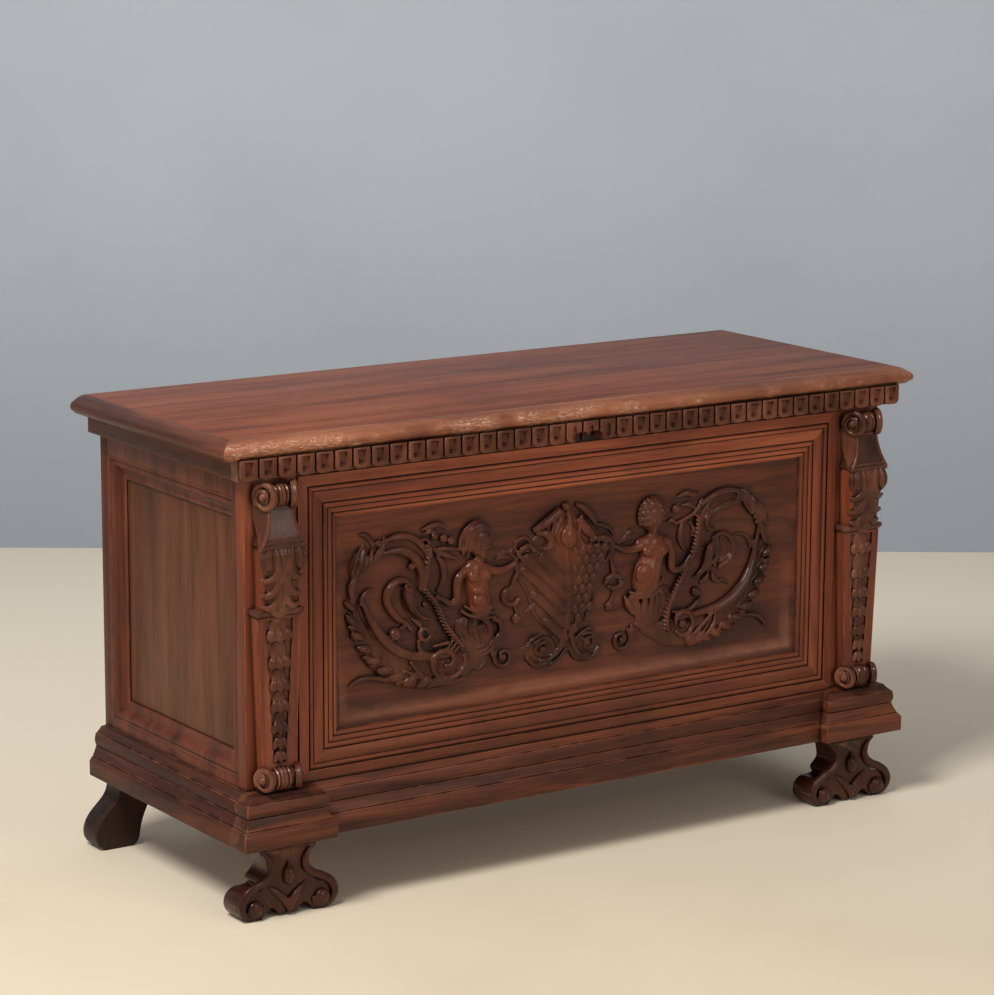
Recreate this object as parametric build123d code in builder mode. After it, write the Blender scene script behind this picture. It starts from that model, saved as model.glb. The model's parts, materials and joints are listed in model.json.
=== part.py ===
# Cassone: a carved walnut chest with a hinged lid, a framed and carved front, carved
# pilasters at its front corners, a moulded plinth, scroll feet in front and bracket feet behind.
# Millimetres. X runs along the chest with 0 at its middle, Y runs from the front to the back
# and Z runs up with 0 at the floor. The pieces are laid out with Y = 0 at the front face of the
# corner stiles, and each is moved back by half the overall depth as it is saved, so that the
# origin of the saved parts is the middle of the chest's footprint.
import os

from build123d import *

# ---- carcass -------------------------------------------------------------------------------
carcass_length = 1202.0
carcass_depth = 452.0
carcass_top = 703.0  # height of the edge that the lid rests on
foot_height = 115.0
frame_thickness = 25.0  # front and back frames
side_thickness = 28.0

# ---- front frame and carved panel ----------------------------------------------------------
stile_width = 90.0  # visible width of a corner stile
rebate_depth = 8.0  # the planted moulding sits this far into the frame
moulding_width = 71.0
moulding_stand = 3.0  # moulding face in front of the stile face
moulding_lap = 13.0  # how far the moulding laps over the panel
front_rail_face = 41.5  # top rail left bare above the planted moulding
panel_clearance = 0.5
panel_thickness = 22.0
field_sink = 8.0  # carved ground below the panel's margin
border_width = 20.0  # rounded border between margin and ground
border_slope = 18.0
relief_height = 14.0  # the carving above its ground
relief_shoulder = 0.6  # share of that height where the carving rounds over
relief_inset = 6.0
carving_middle = -15.0  # the carving stands a little left of the chest's middle
scroll_end_gap = 2.0  # outer end of the left scroll to the edge of the ground
scroll_half = (100.0, 120.0)  # half width and half height of a scroll's ring
ring_width = 34.0
bud_half = (18.0, 30.0)
bud_rise = 18.0
figure_gap = 136.0  # half-figure to the middle of its scroll
figure_half = (30.0, 80.0)
head_radius = 22.0
head_rise = 95.0
shield_half = (84.0, 118.0)

# ---- sides ---------------------------------------------------------------------------------
side_rail_face = 14.5  # bottom rail left bare above the plinth
side_top_rail_height = 68.0
side_moulding_width = 35.0
side_sink = 16.0  # side panel below the face of the side

# ---- back, floor and inner blocks ----------------------------------------------------------
back_stile_width = 90.0
back_rail_height = 90.0
back_panel_thickness = 12.0
back_panel_set = 7.0  # back panel behind the inner face of the back frame
floor_rise = 35.0  # floor board above the bottom of the carcass
floor_thickness = 16.0
bearer_width = 25.0
bearer_height = 22.0
bearer_short = 33.0  # bearer end to side wall
post_width = 28.0
post_short = 13.0  # corner post top below the rim

# ---- plinth --------------------------------------------------------------------------------
plinth_height = 79.5
plinth_projection = 30.0
plinth_band = 24.0  # plain band at the bottom
plinth_ovolo = 20.0  # projection of the upper rounded member
plinth_neck = 18.0  # projection of the hollow between them
block_core = 100.0  # width of a corner block without its moulding
block_break = 18.0  # corner block in front of the plinth run

# ---- lid -----------------------------------------------------------------------------------
lid_gap = 0.3  # lid above the carcass when shut
lid_board_thickness = 25.0
lid_overhang = 23.0  # board end beyond the side of the carcass
lid_board_front = 5.0  # board edge in front of the stile face
lid_back_overhang = 3.0
lid_moulding_width = 26.0
lid_moulding_height = 28.3
rim_clearance = 3.0  # rim strips to the carcass
rim_lip = 2.0  # lid moulding's lip under the board
rim_drop = 31.4  # rim strips below the lid moulding
rim_strip_thickness = 18.0
gadroon_end_gap = 1.0  # strip end inside the board end
gadroon_core = 19.8
gadroon_relief = 6.0
gadroon_count = 39
gadroon_gap = 3.0
flute_width = 8.0
flute_height = 20.0
flute_depth = 2.5
flute_top = 7.0
notch_place = -4.5  # key notch, a little left of the middle
notch_half = 26.5
notch_height = 7.9
notch_arch = 8.0
batten_thickness = 18.0
batten_width = 50.0
batten_inset = 271.0  # middle of a batten to the side of the carcass
batten_end_gap = 55.0

# ---- pilasters -----------------------------------------------------------------------------
pilaster_inset = 46.0  # middle of a pilaster to the side of the carcass
scroll_axis = 20.0  # roll axis in front of the stile face
top_roll_radius = 18.0
top_roll_length = 54.0
top_roll_drop = 60.0  # roll axis below the top of the carcass
plate_drop = 21.0  # top of the plate below the roll axis
plate_top = (24.0, 24.0)  # half width, depth
plate_foot = (41.0, 37.0)
plate_height = 55.0
leaf_top = (37.0, 34.0)
leaf_foot = (36.0, 22.0)
leaf_height = 101.0
ledge_half_width = 41.0
ledge_depth = 24.0
ledge_height = 6.0
shaft_top = (37.0, 21.0)  # half width, depth
shaft_foot = (28.5, 20.0)
shaft_lap = 1.0  # how far the shaft runs into its foot roll
base_roll_radius = 18.5
base_roll_length = 62.0
roll_ring_place = 7.0
roll_ring_width = 4.0
roll_ring_stand = 1.5
husk_top = 26.6  # half width of the sunk panel of husks at its top
husk_foot = 14.0
husk_inset = 6.0
husk_sink = 3.0

# ---- feet ----------------------------------------------------------------------------------
foot_thickness = 47.0
foot_front = 21.6  # foot face in front of the stile face
foot_inset = 57.0  # middle of a front foot to the side of the carcass
foot_half_width = 84.5
foot_neck = 37.0
foot_cap = 50.0
foot_cap_height = 6.0
foot_curl = 22.0  # radius of the scroll ends
rear_foot_top = 71.0  # width of a rear foot under the carcass
rear_foot_shoulder = 16.4

# ---- ironwork ------------------------------------------------------------------------------
hinge_inset = 201.0  # middle of a hinge to the side of the carcass
hinge_length = 76.0
hinge_reach = 25.0
leaf_thickness = 1.8
knuckle_radius = 4.0
knuckle_gap = 0.5  # knuckle to the lid's back edge
knuckle_split = 0.3
pin_radius = 2.0
running_fit = 0.05
pin_head = 1.5
pin_head_radius = 3.0
screw_radius = 1.7
screw_head_radius = 3.4
screw_length = 14.0
screw_fit = 0.05
screw_spacing = 28.0
lock_width = 80.0
lock_flange = 104.0
lock_height = 62.0
lock_depth = 16.0
lock_wall = 2.0
lock_drop = 5.0  # top of the lock below the top of the carcass
lock_screw_inset = 6.0
lock_slot = 20.0
bolt_length = 30.0
bolt_width = 6.0
bolt_height = 8.0
bolt_drop = 23.0  # middle of the bolt below the top of the carcass
bolt_rest_gap = 2.0
bolt_play = 0.5
bolt_side_play = 0.3
bolt_guide_end = -4.0
bolt_tip = 10.0
link_thickness = 3.0
link_width = 10.0
link_drop = 34.0
link_plate = (50.0, 14.0, 2.0)
keyhole_radius = 2.6
keyhole_drop = 6.0  # keyhole below the bolt's middle
keyhole_slot = (3.2, 10.0)
escutcheon = (78.0, 27.0, 1.5)
escutcheon_rise = 2.5  # middle of the plate above the keyhole
escutcheon_corner = 3.0

# ---- places worked out from the sizes above -------------------------------------------------
half_length = carcass_length / 2
stile_inner = half_length - stile_width
back_face = carcass_depth - frame_thickness
side_inner = half_length - side_thickness
plinth_top = foot_height + plinth_height
front_opening_low = plinth_top
front_opening_high = carcass_top - front_rail_face
side_opening_low = plinth_top + side_rail_face
side_opening_high = carcass_top - side_top_rail_height
floor_height = foot_height + floor_rise
lid_board_length = carcass_length + 2 * lid_overhang
gadroon_strip_length = lid_board_length - 2 * gadroon_end_gap
batten_place = half_length - batten_inset
pilaster_place = half_length - pilaster_inset
foot_place = half_length - foot_inset
hinge_place = half_length - hinge_inset
lock_top = carcass_top - lock_drop
bolt_level = carcass_top - bolt_drop
keyhole_level = bolt_level - keyhole_drop
escutcheon_middle = keyhole_level + escutcheon_rise
top_roll_height = carcass_top - top_roll_drop
plate_top_level = top_roll_height - plate_drop
plate_foot_level = plate_top_level - plate_height
leaf_foot_level = plate_foot_level - leaf_height
ledge_bottom = leaf_foot_level - ledge_height
base_roll_height = plinth_top + base_roll_radius + roll_ring_stand
shaft_bottom = base_roll_height + base_roll_radius - shaft_lap
moulding_inner = stile_inner - moulding_width
panel_half = moulding_inner + moulding_lap
panel_low = front_opening_low + moulding_width - moulding_lap
panel_high = front_opening_high - moulding_width + moulding_lap
panel_middle = (panel_low + panel_high) / 2
field_half = moulding_inner - border_width
field_half_height = (panel_high - panel_low) / 2 - moulding_lap - border_width
field_face = rebate_depth + field_sink
scroll_place = field_half + carving_middle - scroll_half[0] - scroll_end_gap
figure_place = scroll_place - figure_gap
lid_low = carcass_top + lid_gap
lid_top = lid_low + lid_board_thickness
lid_nose_x = lid_board_length / 2 + lid_moulding_width
lid_nose_y = -(lid_board_front + lid_moulding_width)
lid_back = carcass_depth + lid_back_overhang
rim_top = lid_top - lid_moulding_height
rim_low = rim_top - rim_drop
rim_inner_x = half_length + rim_clearance
gadroon_face = -(rim_clearance + gadroon_core + gadroon_relief)
axis_y = lid_back + knuckle_gap + knuckle_radius
axis_z = carcass_top + lid_gap / 2
lock_low = lock_top - lock_height
lock_flange_back = frame_thickness + lock_wall
lock_case_back = lock_flange_back + lock_depth
bolt_low = bolt_level - bolt_height / 2
bolt_high = bolt_level + bolt_height / 2
link_y = lock_flange_back + (lock_depth - lock_wall) / 2
bolt_y = (link_y - bolt_width / 2, link_y + bolt_width / 2)
link_x = bolt_tip + bolt_rest_gap + link_thickness / 2
link_plate_low = lid_low - link_plate[2]
link_screw_x = (link_x - link_plate[0] / 3, link_x + link_plate[0] / 3)
screw_row_y = lid_back - hinge_reach / 2
footprint_front = -(block_break + plinth_projection)
footprint_middle = (footprint_front + axis_y + knuckle_radius) / 2

os.makedirs("parts", exist_ok=True)


def save(builder, name):
    """Place a finished piece about the middle of the footprint and write it out by name."""
    placed = Pos(0, -footprint_middle, 0) * builder.part
    placed.label = name
    export_step(placed, f"parts/{name}.step")


def save_pair(right, name):
    """Write a piece of the right half of the chest and its mirror image on the left."""
    with BuildPart() as left:
        mirror(right.part, about=Plane.YZ)
    save(right, name + "_right")
    save(left, name + "_left")


def slab(x, y, z, mode=Mode.ADD):
    """Add to the piece being made, or cut from it, a squared block given by its limits."""
    with Locations(((x[0] + x[1]) / 2, (y[0] + y[1]) / 2, (z[0] + z[1]) / 2)):
        Box(x[1] - x[0], y[1] - y[0], z[1] - z[0], mode=mode)


def cut(x, y, z):
    """Cut a squared notch, given by its limits, from the piece being made."""
    slab(x, y, z, mode=Mode.SUBTRACT)


def moulding_length(outline, start, end, across, deep, mitre_start=True, mitre_end=True):
    """One length of moulding from corner to corner. Its outline is drawn with `across`, which
    points away from the outer edge, and `deep` as axes, and its ends are cut to the mitre."""
    along = (end - start).normalized()
    section = Plane(origin=(start + end) / 2, x_dir=across, z_dir=across.cross(deep))
    with BuildPart() as length:
        with BuildSketch(section):
            with BuildLine():
                outline()
            make_face()
        extrude(amount=(end - start).length / 2, both=True)
        if mitre_start:
            split(bisect_by=Plane(origin=start, z_dir=across - along), keep=Keep.BOTTOM)
        if mitre_end:
            split(bisect_by=Plane(origin=end, z_dir=across + along), keep=Keep.BOTTOM)
    return length


def front_view(x, y):
    """A drawing plane facing the front, with its own origin at x on the chest and at depth y."""
    return Plane(origin=(x, y, 0), x_dir=(1, 0, 0), z_dir=(0, -1, 0))


def screw(clearance):
    """A countersunk screw pointing down, its head's top at the origin, or its hole."""
    head = screw_head_radius + clearance
    shank = screw_radius + clearance
    with BuildPart() as piece:
        with BuildSketch(Plane.XZ):
            with BuildLine():
                Polyline(
                    (0, 0),
                    (head, 0),
                    (shank, shank - head),
                    (shank, -screw_length),
                    (0, -screw_length),
                    close=True,
                )
            make_face()
        revolve(axis=Axis.Z)
    return piece.part


wood_screw = screw(0)
screw_hole = screw(screw_fit)


def lock_screw_places():
    """The four screws of the lock, which point forward into the front rail."""
    return [
        Location((side * (lock_flange / 2 - lock_screw_inset), lock_flange_back, level), (-90, 0, 0))
        for side in (-1, 1)
        for level in (lock_top - lock_screw_inset, lock_low + lock_screw_inset)
    ]


def keyhole():
    """Cut the keyhole, a round hole with a slot below it, through the piece being made."""
    reach = 2 * frame_thickness + 4 * lock_wall
    with Locations(Location((0, 0, keyhole_level), (90, 0, 0))):
        Cylinder(keyhole_radius, reach, mode=Mode.SUBTRACT)
    with Locations((0, 0, keyhole_level - keyhole_slot[1] / 2)):
        Box(keyhole_slot[0], reach, keyhole_slot[1], mode=Mode.SUBTRACT)


def hinge_screw_places(side):
    """The three screws of one hinge leaf, in a row along the middle of the leaf."""
    return [side * hinge_place + step * screw_spacing for step in (-1, 0, 1)]


# ---- front frame ---------------------------------------------------------------------------
with BuildPart() as front_stile:
    slab((panel_half, half_length), (0, frame_thickness), (foot_height, carcass_top))
    cut((panel_half, stile_inner), (0, rebate_depth), (front_opening_low, front_opening_high))
save_pair(front_stile, "front_stile")

with BuildPart() as front_top_rail:
    slab((-panel_half, panel_half), (0, frame_thickness), (panel_high, carcass_top))
    cut((-panel_half, panel_half), (0, rebate_depth), (panel_high, front_opening_high))
    keyhole()
    with Locations(*lock_screw_places()):
        add(screw_hole, mode=Mode.SUBTRACT)
save(front_top_rail, "front_top_rail")

with BuildPart() as front_bottom_rail:
    slab((-panel_half, panel_half), (0, frame_thickness), (foot_height, panel_low))
    cut((-panel_half, panel_half), (0, rebate_depth), (front_opening_low, panel_low))
save(front_bottom_rail, "front_bottom_rail")


def frame_outline():
    """Front moulding: flat band, quirk, bead, broad round and three reeds stepping inward."""
    face = -moulding_stand
    Polyline((0, rebate_depth), (0, face), (16, face), (17.5, face + 2.5), (19, face + 0.5))
    ThreePointArc((19, face + 0.5), (22, face - 1.5), (25, face + 1.5))
    ThreePointArc((25, face + 1.5), (35, face + 2.3), (45, face + 4.6))
    ThreePointArc((45, face + 4.6), (49, face + 3.6), (53.5, face + 5.4))
    ThreePointArc((53.5, face + 5.4), (57.5, face + 4.4), (62, face + 6.6))
    ThreePointArc((62, face + 6.6), (66.5, face + 5.8), (moulding_width, face + 8.5))
    Polyline((moulding_width, face + 8.5), (moulding_width, rebate_depth), (0, rebate_depth))


backward = Vector(0, 1, 0)
top_left = Vector(-stile_inner, 0, front_opening_high)
top_right = Vector(stile_inner, 0, front_opening_high)
low_left = Vector(-stile_inner, 0, front_opening_low)
low_right = Vector(stile_inner, 0, front_opening_low)
for name, start, end, across in (
    ("front_moulding_top", top_left, top_right, Vector(0, 0, -1)),
    ("front_moulding_bottom", low_left, low_right, Vector(0, 0, 1)),
    ("front_moulding_left", low_left, top_left, Vector(1, 0, 0)),
    ("front_moulding_right", low_right, top_right, Vector(-1, 0, 0)),
):
    save(moulding_length(frame_outline, start, end, across, backward), name)

# ---- carved front panel --------------------------------------------------------------------
with BuildPart() as front_panel:
    slab(
        (-panel_half + panel_clearance, panel_half - panel_clearance),
        (rebate_depth, rebate_depth + panel_thickness),
        (panel_low + panel_clearance, panel_high - panel_clearance),
    )
    with BuildSketch(front_view(0, field_face)):
        with Locations((0, panel_middle)):
            Rectangle(2 * field_half, 2 * field_half_height)
    with BuildSketch(front_view(0, rebate_depth)):
        with Locations((0, panel_middle)):
            Rectangle(2 * (field_half + border_slope), 2 * (field_half_height + border_slope))
    loft(mode=Mode.SUBTRACT)
    for height, inset in ((relief_height * relief_shoulder, 0), (relief_height, relief_inset)):
        with BuildSketch(front_view(0, field_face)):
            for side in (-1, 1):
                place = carving_middle + side * scroll_place
                with Locations((place, panel_middle)):
                    Ellipse(scroll_half[0] - inset, scroll_half[1] - inset)
                    Ellipse(
                        scroll_half[0] - ring_width + inset,
                        scroll_half[1] - ring_width + inset,
                        mode=Mode.SUBTRACT,
                    )
                with Locations((place, panel_middle + bud_rise)):
                    Ellipse(bud_half[0] - inset, bud_half[1] - inset)
                place = carving_middle + side * figure_place
                with Locations((place, panel_middle)):
                    Ellipse(figure_half[0] - inset, figure_half[1] - inset)
                with Locations((place, panel_middle + head_rise)):
                    Circle(head_radius - inset)
            with Locations((carving_middle, panel_middle)):
                Ellipse(shield_half[0] - inset, shield_half[1] - inset)
        extrude(amount=height)
save(front_panel, "front_panel")

# ---- sides ---------------------------------------------------------------------------------
inner_y = (frame_thickness, back_face)
with BuildPart() as side_top_rail:
    slab((side_inner, half_length), inner_y, (side_opening_high, carcass_top))
save_pair(side_top_rail, "side_top_rail")

with BuildPart() as side_bottom_rail:
    slab((side_inner, half_length), inner_y, (foot_height, side_opening_low))
save_pair(side_bottom_rail, "side_bottom_rail")

side_panel_face = half_length - side_sink
with BuildPart() as side_panel:
    slab((side_inner, side_panel_face), inner_y, (side_opening_low, side_opening_high))
save_pair(side_panel, "side_panel")


def side_outline():
    """Side moulding: fillet, rounded member, hollow and a thin inner edge on the panel."""
    inner = side_moulding_width
    Polyline((0, side_sink), (0, 0), (4, 0), (5.5, 2.5))
    ThreePointArc((5.5, 2.5), (11, 1.5), (16, 5.5))
    ThreePointArc((16, 5.5), (20, 10.5), (27, 11.5))
    ThreePointArc((27, 11.5), (31.5, 11.5), (inner, side_sink - 2))
    Polyline((inner, side_sink - 2), (inner, side_sink), (0, side_sink))


front_low = Vector(half_length, frame_thickness, side_opening_low)
front_high = Vector(half_length, frame_thickness, side_opening_high)
rear_low = Vector(half_length, back_face, side_opening_low)
rear_high = Vector(half_length, back_face, side_opening_high)
with BuildPart() as side_moulding:
    for start, end, across in (
        (front_high, rear_high, Vector(0, 0, -1)),
        (front_low, rear_low, Vector(0, 0, 1)),
        (front_low, front_high, Vector(0, 1, 0)),
        (rear_low, rear_high, Vector(0, -1, 0)),
    ):
        add(moulding_length(side_outline, start, end, across, Vector(-1, 0, 0)).part)
save_pair(side_moulding, "side_moulding")

# ---- back, floor and inner blocks ----------------------------------------------------------
back_inner = half_length - back_stile_width
back_y = (back_face, carcass_depth)
with BuildPart() as back_stile:
    slab((back_inner, half_length), back_y, (foot_height, carcass_top))
save_pair(back_stile, "back_stile")

with BuildPart() as back_top_rail:
    slab((-back_inner, back_inner), back_y, (carcass_top - back_rail_height, carcass_top))
    for side in (-1, 1):
        middle = side * hinge_place
        cut(
            (middle - hinge_length / 2, middle + hinge_length / 2),
            (lid_back - hinge_reach, carcass_depth),
            (carcass_top - leaf_thickness, carcass_top),
        )
        with Locations(*[(x, screw_row_y, carcass_top) for x in hinge_screw_places(side)]):
            add(screw_hole, mode=Mode.SUBTRACT)
save(back_top_rail, "back_top_rail")

with BuildPart() as back_bottom_rail:
    slab((-back_inner, back_inner), back_y, (foot_height, foot_height + back_rail_height))
save(back_bottom_rail, "back_bottom_rail")

back_panel_face = back_face + back_panel_set
with BuildPart() as back_panel:
    slab(
        (-back_inner, back_inner),
        (back_panel_face, back_panel_face + back_panel_thickness),
        (foot_height + back_rail_height, carcass_top - back_rail_height),
    )
save(back_panel, "back_panel")

with BuildPart() as floor_board:
    slab((-side_inner, side_inner), inner_y, (floor_height, floor_height + floor_thickness))
save(floor_board, "floor_board")

with BuildPart() as floor_bearers:
    bearer_half = side_inner - bearer_short
    for front in (frame_thickness, back_face - bearer_width):
        slab(
            (-bearer_half, bearer_half),
            (front, front + bearer_width),
            (floor_height - bearer_height, floor_height),
        )
save(floor_bearers, "floor_bearers")

with BuildPart() as corner_posts:
    for left in (-side_inner, side_inner - post_width):
        for front in (frame_thickness, back_face - post_width):
            slab(
                (left, left + post_width),
                (front, front + post_width),
                (floor_height + floor_thickness, carcass_top - post_short),
            )
save(corner_posts, "corner_posts")


# ---- plinth --------------------------------------------------------------------------------
def plinth_outline(face):
    """Plinth moulding drawn from its face outward: band, hollow, rounded member and slope."""
    out = face + plinth_projection
    low = foot_height
    neck = low + 48
    Polyline(
        (face, plinth_top),
        (face, low),
        (out, low),
        (out, low + plinth_band),
        (out - 4.5, low + plinth_band + 6),
    )
    ThreePointArc(
        (out - 4.5, low + plinth_band + 6), (out - 9.5, low + 39), (face + plinth_neck, neck)
    )
    ThreePointArc(
        (face + plinth_neck, neck), (face + plinth_ovolo, low + 57), (face + 17.6, low + 68)
    )
    ThreePointArc((face + 17.6, low + 68), (face + 12, low + 72.5), (face + 8, low + 78))
    Polyline((face + 8, low + 78), (face + 2, low + 78), (face, plinth_top))


side_section = Plane(origin=(0, 0, 0), x_dir=(0, -1, 0), z_dir=(-1, 0, 0))
with BuildPart() as plinth_block:
    with BuildSketch(front_view(half_length - block_core / 2, 0)):
        with BuildLine():
            plinth_outline(block_core / 2)
        make_face()
        mirror(about=Plane.YZ)
        with Locations((0, (foot_height + plinth_top) / 2)):
            Rectangle(block_core, plinth_height)
    extrude(amount=block_break + plinth_projection)
    with BuildSketch(side_section):
        with BuildLine():
            plinth_outline(block_break)
        make_face()
        with Locations((block_break / 2, (foot_height + plinth_top) / 2)):
            Rectangle(block_break, plinth_height)
    extrude(amount=half_length + plinth_projection + 1, both=True, mode=Mode.INTERSECT)
save_pair(plinth_block, "plinth_block")

with BuildPart() as plinth_front:
    with BuildSketch(side_section):
        with BuildLine():
            plinth_outline(0)
        make_face()
    extrude(amount=half_length - block_core, both=True)
    add(plinth_block.part, mode=Mode.SUBTRACT)
    mirror(plinth_block.part, about=Plane.YZ, mode=Mode.SUBTRACT)
save(plinth_front, "plinth_front")

with BuildPart() as plinth_side:
    with BuildSketch(front_view(half_length, 0)):
        with BuildLine():
            plinth_outline(0)
        make_face()
    extrude(amount=-carcass_depth)
save_pair(plinth_side, "plinth_side")


# ---- pilasters -----------------------------------------------------------------------------
def tapered(upper, lower):
    """Add a block that tapers from (half width, depth, height) above to the same below."""
    for half_width, depth, height in (upper, lower):
        with BuildSketch(Plane.XY.offset(height), mode=Mode.PRIVATE) as level:
            with Locations((pilaster_place, -depth / 2)):
                Rectangle(2 * half_width, depth)
        yield level.sketch


def roll(radius, length, height):
    """Add a scroll roll lying along the chest, with two thin rings about its middle."""
    with Locations(Location((pilaster_place, -scroll_axis, height), (0, 90, 0))):
        Cylinder(radius, length)
    for step in (-roll_ring_place, roll_ring_place):
        with Locations(Location((pilaster_place + step, -scroll_axis, height), (0, 90, 0))):
            Cylinder(radius + roll_ring_stand, roll_ring_width)


cap_x = (pilaster_place - plate_top[0], pilaster_place + plate_top[0])
with BuildPart() as pilaster_cap:
    roll(top_roll_radius, top_roll_length, top_roll_height)
    slab(cap_x, (-scroll_axis, 0), (plate_top_level, top_roll_height + top_roll_radius / 2))
    loft(list(tapered((*plate_top, plate_top_level), (*plate_foot, plate_foot_level))))
    loft(list(tapered((*leaf_top, plate_foot_level), (*leaf_foot, leaf_foot_level))))
    slab(
        (pilaster_place - ledge_half_width, pilaster_place + ledge_half_width),
        (-ledge_depth, 0),
        (ledge_bottom, ledge_bottom + ledge_height),
    )
save_pair(pilaster_cap, "pilaster_cap")

with BuildPart() as pilaster_shaft:
    loft(list(tapered((*shaft_top, ledge_bottom), (*shaft_foot, shaft_bottom))))
    with BuildSketch(front_view(pilaster_place, -shaft_top[1])):
        with BuildLine():
            Polyline(
                (-husk_top, ledge_bottom - husk_inset),
                (husk_top, ledge_bottom - husk_inset),
                (husk_foot, shaft_bottom + husk_inset),
                (-husk_foot, shaft_bottom + husk_inset),
                close=True,
            )
        make_face()
    extrude(amount=-husk_sink, mode=Mode.SUBTRACT)
    roll(base_roll_radius, base_roll_length, base_roll_height)
    slab(
        (pilaster_place - shaft_foot[0], pilaster_place + shaft_foot[0]),
        (-block_break, 0),
        (plinth_top, shaft_bottom),
    )
save_pair(pilaster_shaft, "pilaster_shaft")

# ---- feet ----------------------------------------------------------------------------------
curl_place = foot_half_width - foot_curl
cap_low = foot_height - foot_cap_height
with BuildPart() as front_foot:
    with BuildSketch(front_view(foot_place, -foot_front)):
        with BuildLine():
            Polyline((0, foot_height), (foot_cap, foot_height), (foot_cap, cap_low))
            Spline(
                (foot_cap, cap_low),
                (foot_neck + 3, cap_low - 9),
                (foot_neck, cap_low - 21),
                (foot_neck - 0.5, cap_low - 39),
                (foot_neck + 11, 2 * foot_curl + 10),
                (curl_place, 2 * foot_curl),
                tangents=((-1, -0.3), (1, 0)),
            )
            Polyline((curl_place, 2 * foot_curl), (curl_place, 0), (45, 0))
            Spline((45, 0), (36, 11), (28, 15), (21, 11), (16, 3))
            Polyline((16, 3), (0, 3), (0, foot_height))
        make_face()
        with Locations((curl_place, foot_curl)):
            Circle(foot_curl)
        mirror(about=Plane.YZ)
    extrude(amount=-foot_thickness)
save_pair(front_foot, "front_foot")

with BuildPart() as rear_foot:
    with BuildSketch(front_view(half_length, lid_back - foot_thickness)):
        with BuildLine():
            shoulder = foot_height - rear_foot_shoulder
            Polyline((-rear_foot_top, foot_height), (-1, foot_height), (-1, shoulder))
            Spline((-1, shoulder), (5, 79), (20, 63), (34.5, 47), (41, 33), (42, 21), (36.6, 8), (21, 0))
            Polyline((21, 0), (-21, 0))
            Spline(
                (-21, 0),
                (-34, 12),
                (-36, 21),
                (-38.4, 33),
                (-43, 47.6),
                (-51, 64.4),
                (-rear_foot_top, 94),
            )
            Polyline((-rear_foot_top, 94), (-rear_foot_top, foot_height))
        make_face()
    extrude(amount=-foot_thickness)
save_pair(rear_foot, "rear_foot")

# ---- lid -----------------------------------------------------------------------------------
board_half = lid_board_length / 2
with BuildPart() as lid_board:
    slab((-board_half, board_half), (-lid_board_front, lid_back), (lid_low, lid_top))
    for side in (-1, 1):
        middle = side * hinge_place
        cut(
            (middle - hinge_length / 2, middle + hinge_length / 2),
            (lid_back - hinge_reach, lid_back),
            (lid_low, lid_low + leaf_thickness),
        )
        with Locations(
            *[Location((x, screw_row_y, lid_low), (180, 0, 0)) for x in hinge_screw_places(side)]
        ):
            add(screw_hole, mode=Mode.SUBTRACT)
    with Locations(*[Location((x, link_y, link_plate_low), (180, 0, 0)) for x in link_screw_x]):
        add(screw_hole, mode=Mode.SUBTRACT)
save(lid_board, "lid_board")


def lid_outline():
    """Lid moulding: a gentle round down to the nose, an undercut, and a lip under the board."""
    lip = lid_moulding_width + rim_lip
    ThreePointArc((lid_moulding_width, 0), (16, 2.4), (7, 7.8))
    ThreePointArc((7, 7.8), (1.5, 12), (0, 16.8))
    ThreePointArc((0, 16.8), (1.4, 21.5), (5, 24.3))
    Polyline(
        (5, 24.3),
        (9, lid_moulding_height),
        (lip, lid_moulding_height),
        (lip, lid_board_thickness),
        (lid_moulding_width, lid_board_thickness),
        (lid_moulding_width, 0),
    )


down = Vector(0, 0, -1)
nose_left = Vector(-lid_nose_x, lid_nose_y, lid_top)
nose_right = Vector(lid_nose_x, lid_nose_y, lid_top)
back_right = Vector(lid_nose_x, lid_back, lid_top)
save(
    moulding_length(lid_outline, nose_left, nose_right, Vector(0, 1, 0), down),
    "lid_moulding_front",
)
save_pair(
    moulding_length(
        lid_outline, nose_right, back_right, Vector(-1, 0, 0), down, mitre_end=False
    ),
    "lid_moulding_side",
)

with BuildPart() as gadroon_tongue:
    pitch = gadroon_strip_length / gadroon_count
    tongue_width = pitch - gadroon_gap
    with BuildSketch(front_view(0, -rim_clearance - gadroon_core)):
        with Locations((0, (rim_low + rim_top) / 2)):
            Rectangle(tongue_width, rim_drop)
        fillet(vertices().group_by(Axis.Y)[0], radius=tongue_width / 3)
    extrude(amount=gadroon_relief)
    fillet(gadroon_tongue.faces().sort_by(Axis.Y)[0].edges(), radius=gadroon_relief / 3)
    with BuildSketch(front_view(0, gadroon_face)):
        with Locations((0, rim_top - flute_top - flute_height / 2)):
            SlotOverall(flute_height, flute_width, rotation=90)
    extrude(amount=-flute_depth, mode=Mode.SUBTRACT)

with BuildPart() as gadroon_strip:
    strip_half = gadroon_strip_length / 2
    slab((-strip_half, strip_half), (-rim_clearance - gadroon_core, -rim_clearance), (rim_low, rim_top))
    with Locations(*[((step + 0.5) * pitch - strip_half, 0, 0) for step in range(gadroon_count)]):
        add(gadroon_tongue.part)
    with BuildSketch(front_view(0, gadroon_face)):
        with Locations((notch_place, rim_low)):
            Rectangle(2 * notch_half, 2 * notch_height)
        for side in (-1, 1):
            with Locations((notch_place + side * notch_half / 2, rim_low + notch_height)):
                Ellipse(notch_half / 2, notch_arch)
    extrude(amount=-gadroon_core - gadroon_relief, mode=Mode.SUBTRACT)
save(gadroon_strip, "gadroon_strip")

with BuildPart() as rim_strip:
    slab(
        (rim_inner_x, rim_inner_x + rim_strip_thickness),
        (-rim_clearance, carcass_depth),
        (rim_low, lid_low),
    )
save_pair(rim_strip, "rim_strip")

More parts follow.
